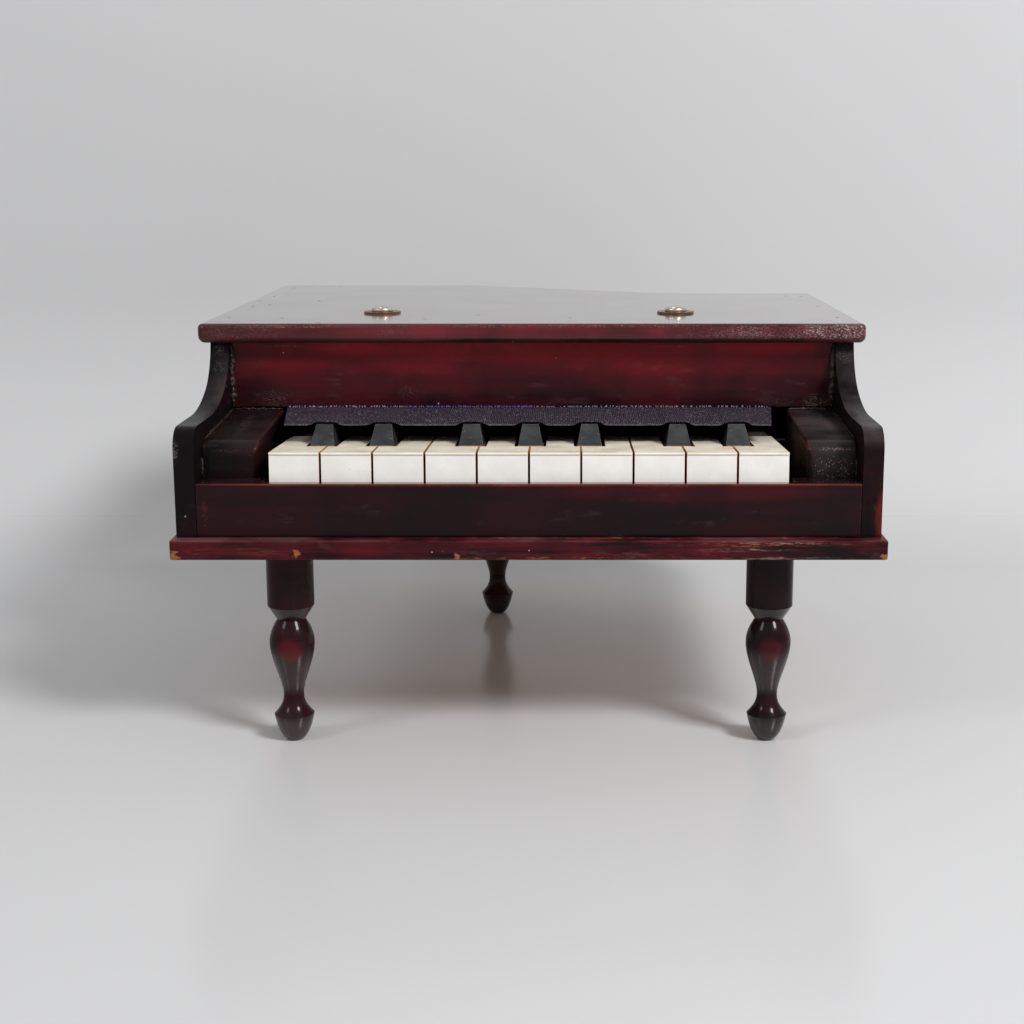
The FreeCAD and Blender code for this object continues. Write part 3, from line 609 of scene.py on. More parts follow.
# On the arms, the blue marks are partly chipped edges and partly a painted sheen
panelFinish = lacquer(
    "black_lacquer", dark=(0.0052, 0.0036, 0.0044, 1), redShare=-0.02, streaks=0.06, patches=0.12,
    edgeWear=0.15, dustShare=0.30, gloss=0.34, grain=(1, 0.06, 1), specular=0.04, coat=0.06,
    tints=[("rubbed", 0.6, (0.1492, armFront, 0.1030), (0.0034, 0.006, 0.0140))],
    marks=[("blueChipsAndSheen", 0.9, (-0.1485, armFront, 0.1335), (0.0022, 0.004, 0.0045)),
           ("pale", 1.0, (-0.1488, -0.1590, 0.1310), (0.0020, 0.004, 0.0060)),
           ("blueChipsAndSheen", 0.7, (-0.1450, -0.0850, 0.1580), (0.0060, 0.012, 0.0060)),
           ("pale", 0.6, (-0.1400, armFront, 0.1325), (0.0014, 0.003, 0.0030)),
           ("rubbed", 0.95, (0.1485, armFront, 0.1040), (0.0048, 0.006, 0.0170)),
           ("bare", 0.5, (0.1492, armFront, 0.0985), (0.0016, 0.003, 0.0040)),
           ("blueChipsAndSheen", 0.8, (0.1460, -0.1480, 0.1400), (0.0050, 0.012, 0.0040)),
           ("pale", 0.8, (0.1455, -0.0800, 0.1640), (0.0055, 0.010, 0.0060)),
           ("pale", 0.6, (-0.1455, -0.0800, 0.1650), (0.0050, 0.010, 0.0040))])
railFinish = lacquer(
    "rail_lacquer", rubbed=(0.21, 0.022, 0.015, 1), redShare=0.06, streaks=0.06, patches=0.08,
    edgeWear=0.9, arrisShare=0.15, dustShare=0.10, gloss=0.26, speckShare=0.07, topShine=(0.8, 0.5), grainScale=200.0,
    tints=[("red", 0.5, (0.070, armFront, 0.1140), (0.075, 0.01, 0.0055)),
           ("rubbed", 0.45, (0.010, armFront, railTop), (0.220, 0.0020, 0.0013))],
    marks=[("rubbed", 0.9, (0.010, armFront, railTop), (0.200, 0.0020, 0.0016)),
           ("rubbed", 0.7, (-0.1370, armFront, 0.1040), (0.0016, 0.004, 0.0100))])
# On the key blocks the tints are painted: a painted shade darkens the left block, and a painted reflection lightens the
# right one. The glints and the pale and grey lines along the fronts and on the left top are painted highlights
blockFinish = lacquer(
    "block_lacquer", dark=(0.0052, 0.0036, 0.0040, 1), redShare=0.06, streaks=0.08, patches=0.14,
    edgeWear=0.18, dustShare=0.08, gloss=0.24, specular=0.04, coat=0.08, speckScale=420.0, speckShare=0.04, bump=0.4,
    tints=[("dark", 0.85, (-0.1285, -0.1080, 0.1260), (0.020, 0.060, 0.022)),
           ("dustAndSheen", 0.26, (0.1300, -0.1080, 0.1260), (0.020, 0.060, 0.022))],
    sparkles=[(0.9, (0.1300, -0.1444, 0.1215), (0.0125, 0.004, 0.0065)),
              (1.0, (0.1300, -0.1412, 0.1298), (0.0125, 0.008, 0.0010))],
    marks=[("pale", 0.9, (0.1300, -0.1412, 0.1298), (0.0120, 0.008, 0.0008)),
           ("dustAndSheen", 0.6, (-0.1280, -0.1412, 0.1290), (0.0110, 0.008, 0.0010)),
           ("dustAndSheen", 0.6, (-0.1285, -0.1060, 0.1350), (0.0040, 0.030, 0.003))])
# On the fallboard, the glow, which makes it redder towards the top, and the crimson and bright tints near the top are
# painted light against the shade of the lid's overhang. The dark tints make it darker at its lower corners
fallFinish = lacquer(
    "fallboard_lacquer", redShare=0.30, streaks=0.16, patches=0.22, cloudScale=34.0, grainScale=240.0,
    edgeWear=0.3, gloss=0.26, speckScale=180.0, speckShare=0.10, glow=(2, fallLow.z, fallHigh.z, 0.65),
    tints=[("paintedLightCrimson", 0.95, (0.010, fallLow.y, 0.1670), (0.170, 0.02, 0.0090)),
           ("bright", 0.75, (0.040, fallLow.y, 0.1630), (0.085, 0.02, 0.0150)),
           ("bright", 0.45, (-0.112, fallLow.y, 0.1610), (0.026, 0.02, 0.0090)),
           ("bright", 0.50, (-0.055, fallLow.y, 0.1620), (0.030, 0.02, 0.0120)),
           ("dark", 0.60, (-0.130, fallLow.y, 0.1440), (0.018, 0.02, 0.0120)),
           ("dark", 0.60, (0.128, fallLow.y, 0.1450), (0.030, 0.02, 0.0130))],
    marks=[("bare", 0.6, (-0.117, fallLow.y, 0.1664), (0.016, 0.01, 0.0010)),
           ("bare", 0.6, (0.066, fallLow.y, 0.1664), (0.022, 0.01, 0.0010)),
           ("dustAndSheen", 0.45, (-0.118, fallLow.y, 0.1420), (0.014, 0.01, 0.0060)),
           ("pale", 0.55, (0.1335, fallLow.y, 0.1405), (0.0085, 0.01, 0.0050)),
           ("dustAndSheen", 0.30, (0.112, fallLow.y, 0.1400), (0.018, 0.01, 0.0030)),
           ("dustAndSheen", 0.30, (-0.058, fallLow.y, 0.1440), (0.006, 0.01, 0.0060)),
           ("dustAndSheen", 0.25, (-0.128, fallLow.y, 0.1610), (0.008, 0.01, 0.0060))])
baseFinish = lacquer(
    "base_lacquer", redShare=0.42, streaks=0.5, edgeWear=0.75, dustShare=0.3, gloss=0.36, scuffs=0.14,
    scratch=(0.10, 1, 1), underside=(0.46, 0.27, 0.135, 1),
    rubs=[(2, baseHigh.z, 0.0011, 0.8), (2, baseLow.z, 0.0010, 0.9)],
    marks=[("bare", 0.45, (0.098, baseLow.y, 0.0930), (0.056, 0.004, 0.0016)),
           ("pale", 0.4, (0.108, baseLow.y, 0.0934), (0.044, 0.004, 0.0010)),
           ("pale", 0.3, (0.090, baseLow.y, 0.0905), (0.030, 0.004, 0.0012)),
           ("bare", 0.5, (0.010, baseLow.y, 0.0868), (0.080, 0.004, 0.0012)),
           ("pale", 0.5, (0.112, baseLow.y, 0.0868), (0.040, 0.004, 0.0012)),
           ("bright", 0.8, (0.060, baseLow.y, 0.0885), (0.090, 0.004, 0.0022)),
           ("bare", 0.12, (-0.120, baseLow.y, 0.0900), (0.025, 0.004, 0.0030)),
           ("rubbed", 0.9, (-0.142, baseLow.y, 0.0890), (0.012, 0.004, 0.0040)),
           ("pale", 0.45, (0.030, -0.1600, baseHigh.z), (0.190, 0.0016, 0.002))],
    chips=[(-0.0981, baseLow.y, 0.0886, 0.0013), (-0.0302, baseLow.y, 0.0880, 0.0013),
           (-0.1500, baseLow.y, 0.0880, 0.0018), (0.1505, baseLow.y, 0.0872, 0.0017)])
# On the lid, the grey tint along the lower rounding of the front edge is a painted reflection, and the glints at both
# ends are painted highlights
lidFinish = lacquer(
    "lid_lacquer", bright=(0.152, 0.0105, 0.0175, 1), redShare=0.55, streaks=0.35, patches=0.35,
    edgeWear=0.7, dustShare=0.12, gloss=0.24, scuffs=0.08, coat=0.08, coatRoughness=0.09, specular=0.30, bump=0.10,
    topShine=(1.0, 0.55), rubs=[(2, lidTop, 0.0008, 0.6)],
    tints=[("bright", 0.8, (0.020, lidFront, 0.1742), (0.145, 0.008, 0.0042)),
           ("dustAndSheen", 0.14, (0.0, -0.0800, 0.1690), (0.220, 0.008, 0.0034))],
    marks=[("bare", 0.9, (-0.110, -0.0805, 0.1764), (0.036, 0.003, 0.0010)),
           ("bare", 0.6, (0.015, -0.0805, 0.1766), (0.130, 0.002, 0.0008)),
           ("dustAndSheen", 0.7, (-0.132, lidFront, 0.1735), (0.026, 0.004, 0.0050)),
           ("dustAndSheen", 0.4, (-0.070, lidFront, 0.1735), (0.030, 0.004, 0.0040)),
           ("pale", 1.0, (0.142, lidFront, 0.1745), (0.024, 0.006, 0.0052)),
           ("pale", 0.5, (0.115, lidFront, 0.1740), (0.040, 0.005, 0.0045)),
           ("dustAndSheen", 0.5, (0.085, lidFront, 0.1735), (0.045, 0.004, 0.0040))],
    sparkles=[(0.7, (0.142, lidFront, 0.1750), (0.016, 0.005, 0.0045)),
              (0.35, (-0.138, lidFront, 0.1745), (0.016, 0.005, 0.0045))],
    dents=[((x, y, lidTop), (0.0014, 0.0026, 0.002)) for x, y in (
        (-0.1442, 0.1417), (-0.1176, 0.1498), (-0.1480, 0.0477), (-0.1379, 0.0221), (-0.1161, 0.0477),
        (-0.1195, -0.0520), (-0.0988, -0.0760), (0.1374, 0.0817), (-0.0510, -0.0572),
        (-0.0270, -0.0360), (0.0176, -0.0520))],
    ornament={"centre": (0.0, 0.041), "half": (0.049, 0.066), "scallops": 36.0, "strength": 0.5, "core": 0.5,
              "rings": ((0.97, 0.0, 0.022), (0.84, 0.07, 0.018), (0.80, 0.0, 0.012)),
              "fadeCut": (0.40, 0.60), "colour": (0.40, 0.30, 0.14, 1)})
# On each front leg, the bright tint is a painted red glow in the bulb, and the grey tints on the lower bulb and the
# foot are painted reflections of the floor
legFinish = lacquer(
    "leg_lacquer", redShare=0.05, streaks=0.06, patches=0.16, gloss=0.20, coat=0.16, lowShine=0.9,
    coatRoughness=0.05, grain=(1, 1, 0.08), dustShare=0.05, specular=0.04, bump=0.12, scuffs=0.04, speckShare=0.0,
    tints=[tint for x in (-0.1044, 0.1044) for tint in (
        ("bright", 0.42, (x, -0.1540, 0.0424), (0.0075, 0.010, 0.0072)),
        ("dustAndSheen", 0.18, (x, -0.1440, 0.0060), (0.0200, 0.020, 0.0080)),
        ("dustAndSheen", 0.08, (x, -0.1440, 0.0300), (0.0200, 0.020, 0.0100)))])
rimFinish = lacquer("rim_lacquer", redShare=0.25, streaks=0.25, gloss=0.32, dustShare=0.3, specular=0.12)

for name in ("left_side_panel", "right_side_panel"):
    setMaterial(softened(name, caseWood["panelWidth"]), panelFinish)
setMaterial(softened("front_rail", caseWood["railWidth"]), railFinish)
for name in ("left_key_block", "right_key_block"):
    setMaterial(softened(name, caseWood["blockWidth"]), blockFinish)
setMaterial(softened("fallboard", caseWood["fallboardWidth"]), fallFinish)
setMaterial(nodes["base_board"], baseFinish)
setMaterial(nodes["lid"], lidFinish)
setMaterial(nodes["bent_rim"], rimFinish)

# Legs, turned from the foot up, as pairs of radius and height: a bowl with a crisp rim, a neck, and a pear in two
# curves. Each curve has two handles between its ends, and the cylinder's radius and the tenon's top come from the frame
legLook = {
    "curves": (
        ((0.00280, 0.0000), (0.00600, 0.0006), (0.00800, 0.0072), (0.00875, 0.0119)),
        ((0.00875, 0.0119), (0.00615, 0.0147), (0.00444, 0.0170), (0.00444, 0.0210)),
        ((0.00444, 0.0210), (0.00444, 0.0268), (0.00985, 0.0364), (0.00985, 0.0442)),
        ((0.00985, 0.0442), (0.00985, 0.0484), (0.00835, 0.0517), (0.00615, 0.0551))),
    "coneTop": 0.0614,
    "tenonRadius": 0.0050, "tenonLength": 0.0060,
    "curveSteps": 12,
    "steps": 72,
    "crease": math.radians(28),
}


def turnedLeg(name):
    low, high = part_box(name)
    axis = Vector(((low.x + high.x) / 2, (low.y + high.y) / 2, 0))
    radius = (high.x - low.x) / 2
    shoulder = high.z - legLook["tenonLength"]
    stops = [Vector((0, 0, 0))]
    for curve in legLook["curves"]:
        stops += interpolate_bezier(*(Vector((r, 0, z)) for r, z in curve), legLook["curveSteps"])
    square = ((radius, legLook["coneTop"]), (radius, shoulder), (legLook["tenonRadius"], shoulder),
              (legLook["tenonRadius"], high.z), (0, high.z))
    stops += [Vector((r, 0, z)) for r, z in square]
    bm = bmesh.new()
    outline = [bm.verts.new(axis + stop) for stop in stops]
    edges = [bm.edges.new(pair) for pair in zip(outline, outline[1:])]
    bmesh.ops.spin(bm, geom=outline + edges, cent=axis, axis=(0, 0, 1), angle=math.tau, steps=legLook["steps"],
                   use_merge=True)
    bmesh.ops.remove_doubles(bm, verts=bm.verts, dist=softLook["merge"])
    roundOff(bm)
    piece = newPiece(bm, name + "_turned")
    piece.data.set_sharp_from_angle(angle=legLook["crease"])
    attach(piece, nodes[name]["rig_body"])
    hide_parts(name)
    return piece


for name in ("left_front_leg", "right_front_leg", "back_leg"):
    setMaterial(turnedLeg(name), legFinish)
print("case done")

# Keys: sort the faces by the key's own level frame, which is tilted back about the balance wire
keyLook = {
    "pivot": Vector((0, -0.040, 0.117)),
    "tilt": math.radians(3.1),
    "coverFrom": 0.0060,
    "frontTo": -0.1118,
    "sideTilt": 0.35,
    "topTilt": 0.5,
    "naturalWidth": 0.00055, "naturalSegments": 2,
    "sharpWidth": 0.00060,
}
naturalSlots = {"top": 0, "front": 1, "wood": 2, "stick": 3}
sharpSlots = {"paint": 0, "wood": 1}
levelled = Matrix.Rotation(keyLook["tilt"], 4, "X") @ Matrix.Translation(-keyLook["pivot"])


def naturalFace(face):
    middle = levelled @ face.calc_center_median()
    if abs(face.normal.x) > keyLook["sideTilt"]:
        return naturalSlots["wood"]
    if middle.z > keyLook["coverFrom"]:
        return naturalSlots["top"]
    if middle.y < keyLook["frontTo"]:
        return naturalSlots["front"]
    return naturalSlots["stick" if face.normal.z > keyLook["topTilt"] else "wood"]


def sharpFace(face):
    middle = levelled @ face.calc_center_median()
    return sharpSlots["paint" if middle.z > keyLook["coverFrom"] else "wood"]


keyTop = ivory("cream_celluloid")
keyFront = paintedFront("white_front")
keyWood = bareWood("key_wood", (0.46, 0.21, 0.075, 1), (0.27, 0.11, 0.036, 1))
# The tops of the key sticks behind the covers are near black: old wood dark with dust, and painted shade under the
# cloth
stickTopDustAndShade = bareWood("stick_top_dust_and_shade", (0.055, 0.032, 0.020, 1), (0.022, 0.013, 0.009, 1))
sharpPaint = ebonised("ebonised_paint")
for name in nodes:
    if name.startswith("white_key"):
        natural = softened(name, keyLook["naturalWidth"], keyLook["naturalSegments"], naturalFace)
        setMaterial(natural, keyTop, keyFront, keyWood, stickTopDustAndShade)
    elif name.startswith("black_key"):
        setMaterial(softened(name, keyLook["sharpWidth"], sortFace=sharpFace), sharpPaint, keyWood)
print("keys done")

# Action, plates and metal. The eyelets are brown in their recess, up to a little above the lid
actionLook = {
    "feltWidth": 0.0005, "feltSegments": 2,
    "eyeletBrown": (0.16, 0.075, 0.035, 1), "eyeletRise": 0.0010,
}
eyeletBrown = (actionLook["eyeletBrown"], lidTop + actionLook["eyeletRise"])
steel = metal("steel", (0.50, 0.50, 0.51, 1), (0.20, 0.15, 0.11, 1), 0.32, 0.4)
nickel = metal("eyelet_nickel", (0.68, 0.60, 0.50, 1), (0.34, 0.20, 0.11, 1), 0.20, 0.6, eyeletBrown)
iron = metal("brad_iron", (0.16, 0.13, 0.12, 1), (0.06, 0.04, 0.035, 1), 0.4, 0.6)
railWood = bareWood("rail_wood", (0.34, 0.19, 0.085, 1), (0.15, 0.075, 0.03, 1), (0.05, 1, 1))
hammerWood = bareWood("hammer_wood", (0.48, 0.30, 0.15, 1), (0.25, 0.14, 0.06, 1))
redFelt = felt("red_felt", (0.22, 0.035, 0.03, 1), (0.10, 0.015, 0.014, 1))
setMaterial(nodes["eyelets"], nickel)
setMaterial(nodes["lid_pins"], iron)
for name in ("balance_wire", "hammer_wire", "tone_plates", "plate_pins"):
    setMaterial(nodes[name], steel)
for name in ("balance_rail", "back_rail", "front_plate_rail", "back_plate_rail"):
    setMaterial(nodes[name], railWood)
for name in ("front_felt", "back_felt", "plate_felts"):
    setMaterial(softened(name, actionLook["feltWidth"], actionLook["feltSegments"]), redFelt)
for name in nodes:
    if name.startswith("hammer_") and name != "hammer_wire":
        setMaterial(nodes[name], hammerWood)
print("action done")

# Cloth over the sharps: it droops between them, its ribs run front to back, and pale threads show along the cut edge
# at the front
clothLook = {
    "back": -0.0664,
    "front": -0.1150,
    "halfBack": 0.1142, "halfFront": 0.1084,
    "middleBack": -0.0016, "middleFront": -0.0013,
    "top": 0.13770,
    "thick": 0.0006,
    "droop": 0.0015, "droopPower": 1.5,
    "step": 0.0046,
    "flat": 0.0036,
    "sharpSlots": (1, 3, 6, 8, 10, 13, 15),
    "slotPitch": 0.222 / 17, "slotsLeft": -0.111,
    "columns": 300,
    "rows": 20,
    "rippleScale": (90, 60), "rippleSlice": 3.1, "ripple": 0.00018,
    "waverScale": 240, "waverSlice": 0.7, "waver": 0.0003,
    "flatArea": 0.01080,
}
sharpCentres = [clothLook["slotsLeft"] + clothLook["slotPitch"] * (slot + 0.5) for slot in clothLook["sharpSlots"]]
# The grooves between the ribs are painted darker than the ribs: a painted shade
weaveLook = {
    "grooveShade": (0.0080, 0.0054, 0.0090, 1),
    "rib": (0.040, 0.029, 0.044, 1),
    "thread": (0.165, 0.130, 0.176, 1),
    "faded": (0.022, 0.017, 0.026, 1),
    "edge": (0.15, 0.125, 0.15, 1),
    "ribPitch": 0.00085,
    "wander": (120, 3), "wanderReach": 0.0008,
    "threads": (1300, 4, (1, 0.25, 1), 0.7), "threadCut": (0.50, 0.66), "threadShare": 0.75,
    "fade": (50, 4), "fadeCut": (0.45, 0.7), "fadeShare": 0.5,
    "edgeDepth": (0.0014, 0.0006), "edgeDrop": (0.0010, 0.0016), "edgeCut": (0.35, 0.6), "edgeShare": (0.15, 0.6),
    "rough": (0.8, 0.98),
    "specular": 0.15,
    "threadRelief": 0.5,
    "bump": (0.8, 0.0004),
}


def clothLevel(x, toFront):
    gap = min(abs(x - centre) for centre in sharpCentres) - clothLook["flat"]
    share = min(1.0, max(0.0, gap / clothLook["step"]))
    eased = share * share * (3 - 2 * share)
    return clothLook["top"] - clothLook["droop"] * eased * toFront ** clothLook["droopPower"]


def ribbedCloth(name):
    look = weaveLook
    material, tree, shader, place = newMaterial(name)
    wander = times(tree, clouds(tree, place, *look["wander"]), look["wanderReach"])
    across = plus(tree, coordinate(tree, place, 0), wander)
    ribs = spread(tree, calc(tree, "SINE", times(tree, across, math.tau / look["ribPitch"])), -1.0, 1.0)
    threads = clouds(tree, place, *look["threads"])
    fade = clouds(tree, place, *look["fade"])
    colour = blend(tree, ribs, look["grooveShade"], look["rib"])
    pale = spread(tree, threads, *look["threadCut"], 0.0, look["threadShare"])
    colour = blend(tree, pale, colour, look["thread"])
    faded = spread(tree, fade, *look["fadeCut"], 0.0, look["fadeShare"])
    colour = blend(tree, faded, colour, look["faded"])
    edgeFrom = (clothLook["front"] + depth for depth in look["edgeDepth"])
    edgeUnder = (clothLook["top"] - drop for drop in look["edgeDrop"])
    edge = times(tree, spread(tree, coordinate(tree, place, 1), *edgeFrom),
                 spread(tree, coordinate(tree, place, 2), *edgeUnder),
                 spread(tree, threads, *look["edgeCut"], *look["edgeShare"]))
    feed(tree, shader, "Base Color", blend(tree, edge, colour, look["edge"]))
    feed(tree, shader, "Roughness", vary(tree, threads, *look["rough"]))
    feed(tree, shader, "Specular IOR Level", look["specular"])
    roughen(tree, shader, plus(tree, ribs, times(tree, threads, look["threadRelief"])), *look["bump"])
    return material


bm = bmesh.new()
bmesh.ops.create_grid(bm, x_segments=clothLook["columns"], y_segments=clothLook["rows"], size=1.0)
for vert in bm.verts:
    toFront = (1 - vert.co.y) / 2
    half = clothLook["halfBack"] + (clothLook["halfFront"] - clothLook["halfBack"]) * toFront
    middle = clothLook["middleBack"] + (clothLook["middleFront"] - clothLook["middleBack"]) * toFront
    x = vert.co.x * half + middle
    y = clothLook["back"] + toFront * (clothLook["front"] - clothLook["back"])
    alongScale, deepScale = clothLook["rippleScale"]
    ripple = noise.noise(Vector((x * alongScale, y * deepScale, clothLook["rippleSlice"])))
    waver = noise.noise(Vector((x * clothLook["waverScale"], clothLook["waverSlice"], 0)))
    vert.co = (x, y + waver * clothLook["waver"] * toFront,
               clothLevel(x, toFront) + ripple * clothLook["ripple"] * toFront)
roundOff(bm)
cloth = newPiece(bm, "key_cloth_sheet")
thicken = cloth.modifiers.new("thickness", "SOLIDIFY")
thicken.thickness = clothLook["thick"]
thicken.offset = -1.0
setMaterial(cloth, ribbedCloth("ribbed_cloth"))
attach(cloth, "case")
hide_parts("key_cloth")

# Loose threads along the cloth where it comes out under the fallboard: a violet run left of the middle, pale ends
# elsewhere. Each rises to a crest and leans, and the crest is at these shares of its lean and its reach
fringeLook = {
    "seed": 7,
    "y": -0.0716,
    "z": 0.13785,
    "left": -0.1142,
    "right": 0.1105,
    "violetFrom": -0.060, "violetTo": 0.001,
    "pitch": 0.0005,
    "jitter": 0.3,
    "paleShare": 0.60,
    "width": 0.00014,
    "corners": 3,
    "root": 0.0004,
    "reach": 0.0018, "reachShare": (0.5, 1.0),
    "lean": 0.0007,
    "crest": (0.5, 0.4),
    "lift": 0.0003,
    "moreLift": 0.0005,
    "tipLift": 0.0001,
    "fibres": (1600, 3), "fibreCut": (0.35, 0.65),
    "rough": (0.7, 0.95),
}


def threadMaterial(name, light, dark):
    material, tree, shader, place = newMaterial(name)
    fibres = clouds(tree, place, *fringeLook["fibres"])
    feed(tree, shader, "Base Color", blend(tree, spread(tree, fibres, *fringeLook["fibreCut"]), dark, light))
    feed(tree, shader, "Roughness", vary(tree, fibres, *fringeLook["rough"]))
    return material


def threadSpine(x, lean, reach, lift):
    y, z = fringeLook["y"], fringeLook["z"]
    leanShare, reachShare = fringeLook["crest"]
    return [Vector((x, y + fringeLook["root"], z)), Vector((x + lean * leanShare, y - reach * reachShare, z + lift)),
            Vector((x + lean, y - reach, z + fringeLook["tipLift"]))]


def threadRing(bm, middle):
    turns = [corner * math.tau / fringeLook["corners"] for corner in range(fringeLook["corners"])]
    return [bm.verts.new(middle + Vector((math.cos(t), 0, math.sin(t))) * fringeLook["width"]) for t in turns]


dice = random.Random(fringeLook["seed"])
bm = bmesh.new()
count = int((fringeLook["right"] - fringeLook["left"]) / fringeLook["pitch"])
for index in range(count):
    jitter = dice.uniform(-fringeLook["jitter"], fringeLook["jitter"])
    x = fringeLook["left"] + index * fringeLook["pitch"] + jitter * fringeLook["pitch"]
    violet = fringeLook["violetFrom"] < x < fringeLook["violetTo"]
    if not violet and dice.random() > fringeLook["paleShare"]:
        continue
    lean = dice.uniform(-fringeLook["lean"], fringeLook["lean"])
    reach = fringeLook["reach"] * dice.uniform(*fringeLook["reachShare"])
    lift = fringeLook["lift"] + dice.uniform(0.0, fringeLook["moreLift"])
    rings = [threadRing(bm, middle) for middle in threadSpine(x, lean, reach, lift)]
    for face in skin(bm, rings):
        face.smooth = len(face.verts) > fringeLook["corners"]
        face.material_index = 0 if violet else 1
bmesh.ops.recalc_face_normals(bm, faces=bm.faces)
fringe = newPiece(bm, "key_cloth_fringe")
setMaterial(fringe, threadMaterial("violet_thread", (0.16, 0.10, 0.46, 1), (0.07, 0.045, 0.22, 1)),
            threadMaterial("pale_thread", (0.36, 0.32, 0.37, 1), (0.12, 0.10, 0.14, 1)))
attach(fringe, "case")
print("cloth done")

# Beads of thick old lacquer that ran into the seams of the case, lumpy and tapered to both ends
beadLook = {
    "runs": [((-0.1404, -0.0718, 0.1378), (-0.1404, -0.0718, 0.1682), 0.0019),
             ((0.1404, -0.0718, 0.1378), (0.1404, -0.0718, 0.1682), 0.0021),
             ((-0.1404, -0.0718, 0.1370), (-0.1172, -0.0718, 0.1370), 0.0006),
             ((0.1200, -0.0718, 0.1370), (0.1404, -0.0718, 0.1370), 0.0008),
             ((-0.1405, -0.1378, 0.1333), (-0.1405, -0.0720, 0.1370), 0.0007),
             ((0.1405, -0.1378, 0.1333), (0.1405, -0.0720, 0.1370), 0.0006),
             ((-0.1405, -0.1446, 0.1178), (-0.1405, -0.1442, 0.1262), 0.0006),
             ((0.1405, -0.1446, 0.1178), (0.1405, -0.1442, 0.1262), 0.0006)],
    "step": 0.0006,
    "leastSteps": 4,
    "sides": 8,
    "steep": 0.9,
    "tip": 0.25,
    "taper": 4,
    "swell": 0.75, "swellLeast": 0.25,
    "lumpScale": 520, "lumpAround": 0.9, "lumpShift": 7.0,
}
crackLook = {
    "black": (0.010, 0.0060, 0.0050, 1),
    "brown": (0.030, 0.014, 0.010, 1),
    "dustAndSheen": (0.16, 0.125, 0.095, 1),
    "drift": (130, 3), "driftCut": (0.4, 0.6),
    "lumps": (1700, 4, (1, 1, 1), 0.65),
    "dustCut": (0.54, 0.68), "dustShare": 0.8,
    "rough": (0.16, 0.40),
    "specular": 0.3,
    "bump": (0.7, 0.0006),
}


def crackedLacquer(name):
    look = crackLook
    material, tree, shader, place = newMaterial(name)
    lumps = clouds(tree, place, *look["lumps"])
    drift = clouds(tree, place, *look["drift"])
    colour = blend(tree, spread(tree, drift, *look["driftCut"]), look["black"], look["brown"])
    dusty = spread(tree, lumps, *look["dustCut"], 0.0, look["dustShare"])
    feed(tree, shader, "Base Color", blend(tree, dusty, colour, look["dustAndSheen"]))
    feed(tree, shader, "Roughness", vary(tree, lumps, *look["rough"]))
    feed(tree, shader, "Specular IOR Level", look["specular"])
    roughen(tree, shader, lumps, *look["bump"])
    return material


def beadRings(bm, number, start, end, radius):
    along = (end - start).normalized()
    side = along.cross(Vector((0, 0, 1)) if abs(along.z) < beadLook["steep"] else Vector((1, 0, 0))).normalized()
    other = along.cross(side)
    shift = Vector((number * beadLook["lumpShift"], 0, 0))
    steps = max(beadLook["leastSteps"], int((end - start).length / beadLook["step"]))
    rings = []
    for step in range(steps + 1):
        middle = start.lerp(end, step / steps)
        taper = min(1.0, beadLook["tip"] + beadLook["taper"] * min(step, steps - step) / steps)
        ring = []
        for corner in range(beadLook["sides"]):
            turn = corner * math.tau / beadLook["sides"]
            out = side * math.cos(turn) + other * math.sin(turn)
            lump = noise.noise(middle * beadLook["lumpScale"] + out * beadLook["lumpAround"] + shift)
            swell = max(beadLook["swellLeast"], beadLook["swell"] + beadLook["swell"] * lump)
            ring.append(bm.verts.new(middle + out * radius * taper * swell))
        rings.append(ring)
    return rings


bm = bmesh.new()
for number, (start, end, radius) in enumerate(beadLook["runs"]):
    skin(bm, beadRings(bm, number, Vector(start), Vector(end), radius))
roundOff(bm)
beads = newPiece(bm, "seam_beads")
setMaterial(beads, crackedLacquer("cracked_lacquer"))
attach(beads, "case")
print("seams done")

# Floor and backdrop in one sweep, glossy on the floor and dull from a little way up
sweepLook = {
    "front": -1.6,
    "back": 0.34,
    "half": 2.2,
    "height": 1.7,
    "bend": 0.16, "bendSteps": 16,
    "grey": (0.50, 0.50, 0.505, 1),
    "pale": (0.53, 0.53, 0.535, 1),
    "drift": (3, 3),
    "rise": 0.12,
    "dullFrom": 0.25,
    "rough": (0.20, 0.70),
    "specular": (0.42, 0.05),
}
corners = ((sweepLook["front"], 0), (sweepLook["back"], 0), (sweepLook["back"], sweepLook["height"]))
bm = bmesh.new()
profile = [bm.verts.new((0, y, z)) for y, z in corners]
for pair in zip(profile, profile[1:]):
    bm.edges.new(pair)
bmesh.ops.bevel(bm, geom=[profile[1]], offset=sweepLook["bend"], offset_type="OFFSET", segments=sweepLook["bendSteps"],
                profile=0.5, affect="VERTICES", material=-1)
for vert in bm.verts:
    vert.co.x = -sweepLook["half"]
wide = bmesh.ops.extrude_edge_only(bm, edges=bm.edges)["geom"]
farSide = [item for item in wide if isinstance(item, bmesh.types.BMVert)]
bmesh.ops.translate(bm, verts=farSide, vec=(2 * sweepLook["half"], 0, 0))
roundOff(bm)
if sum(face.normal.z for face in bm.faces) < 0:
    bmesh.ops.reverse_faces(bm, faces=bm.faces)
sweep = newPiece(bm, "sweep")
material, tree, shader, place = newMaterial("sweep_paper")
drift = clouds(tree, place, *sweepLook["drift"])
upright = spread(tree, coordinate(tree, place, 2), 0.0, sweepLook["rise"])
feed(tree, shader, "Base Color", blend(tree, drift, sweepLook["grey"], sweepLook["pale"]))
feed(tree, shader, "Roughness", spread(tree, upright, 0.0, sweepLook["dullFrom"], *sweepLook["rough"]))
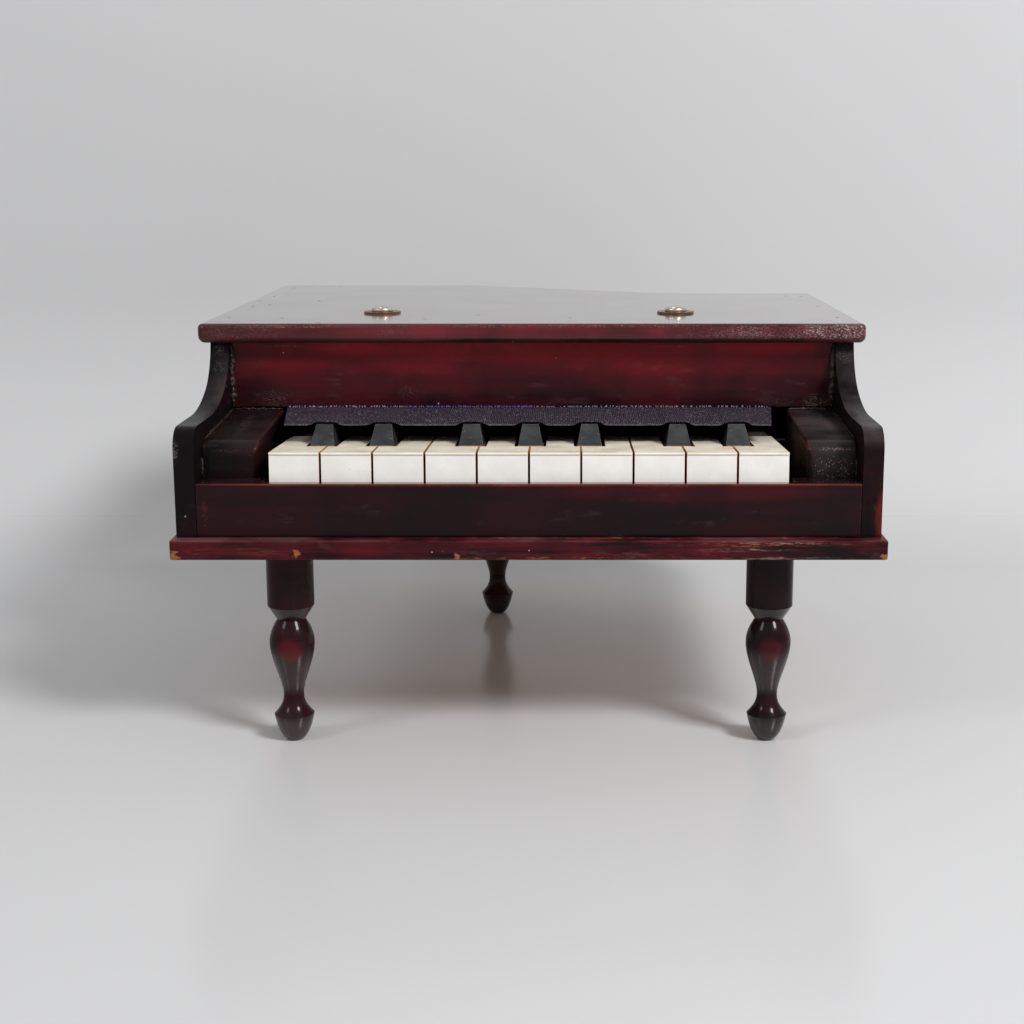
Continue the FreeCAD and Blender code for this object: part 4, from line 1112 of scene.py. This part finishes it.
feed(tree, shader, "Specular IOR Level", spread(tree, upright, 0.0, sweepLook["dullFrom"], *sweepLook["specular"]))
# Only the side towards the piano is paper, so views from behind and below aren't blocked
seeThrough = addNode(tree, "BsdfTransparent")
behind = addNode(tree, "NewGeometry").outputs["Backfacing"]
oneSided = addNode(tree, "MixShader", {0: behind, 1: shader.outputs[0], 2: seeThrough.outputs[0]})
output = next(node for node in tree.nodes if node.bl_idname == "ShaderNodeOutputMaterial")
feed(tree, output, "Surface", oneSided.outputs[0])
setMaterial(sweep, material)

# Light: two soft lamps in front, the right one far stronger, and an even room around. A lamp is place, size and power
lightLook = {
    "room": 0.50,
    "tone": (0.98, 0.99, 1.0, 1),
    "aim": Vector((0, 0, 0.08)),
    "lamps": {
        "right_lamp": ((1.15, -1.20, 1.44), 0.50, 42.0),
        "left_lamp": ((-1.34, -1.09, 1.36), 0.50, 8.0),
    },
}
world = bpy.data.worlds.new("room")
world.use_nodes = True
background = world.node_tree.nodes["Background"]
background.inputs["Color"].default_value = lightLook["tone"]
background.inputs["Strength"].default_value = lightLook["room"]
bpy.context.scene.world = world
for name, (spot, size, power) in lightLook["lamps"].items():
    lamp = bpy.data.lights.new(name, "AREA")
    lamp.shape = "SQUARE"
    lamp.size = size
    lamp.energy = power
    item = bpy.data.objects.new(name, lamp)
    item.location = spot
    item.rotation_euler = (lightLook["aim"] - item.location).to_track_quat("-Z", "Y").to_euler()
    bpy.context.scene.collection.objects.link(item)

# Camera at the photograph's place
cameraLook = {
    "place": (0.0157, -0.8634, 0.2514),
    "down": math.radians(11.7),
    "sensor": 36.0,
    "lens": 59.77,
    "shift": -0.0527,
}
lens = bpy.data.cameras.new("camera")
lens.sensor_width = cameraLook["sensor"]
lens.lens = cameraLook["lens"]
lens.shift_x = cameraLook["shift"]
camera = bpy.data.objects.new("camera", lens)
camera.location = cameraLook["place"]
camera.rotation_euler = (math.pi / 2 - cameraLook["down"], 0, 0)
bpy.context.scene.collection.objects.link(camera)
bpy.context.scene.camera = camera
bpy.context.scene.view_settings.view_transform = "Standard"
print("stage done")
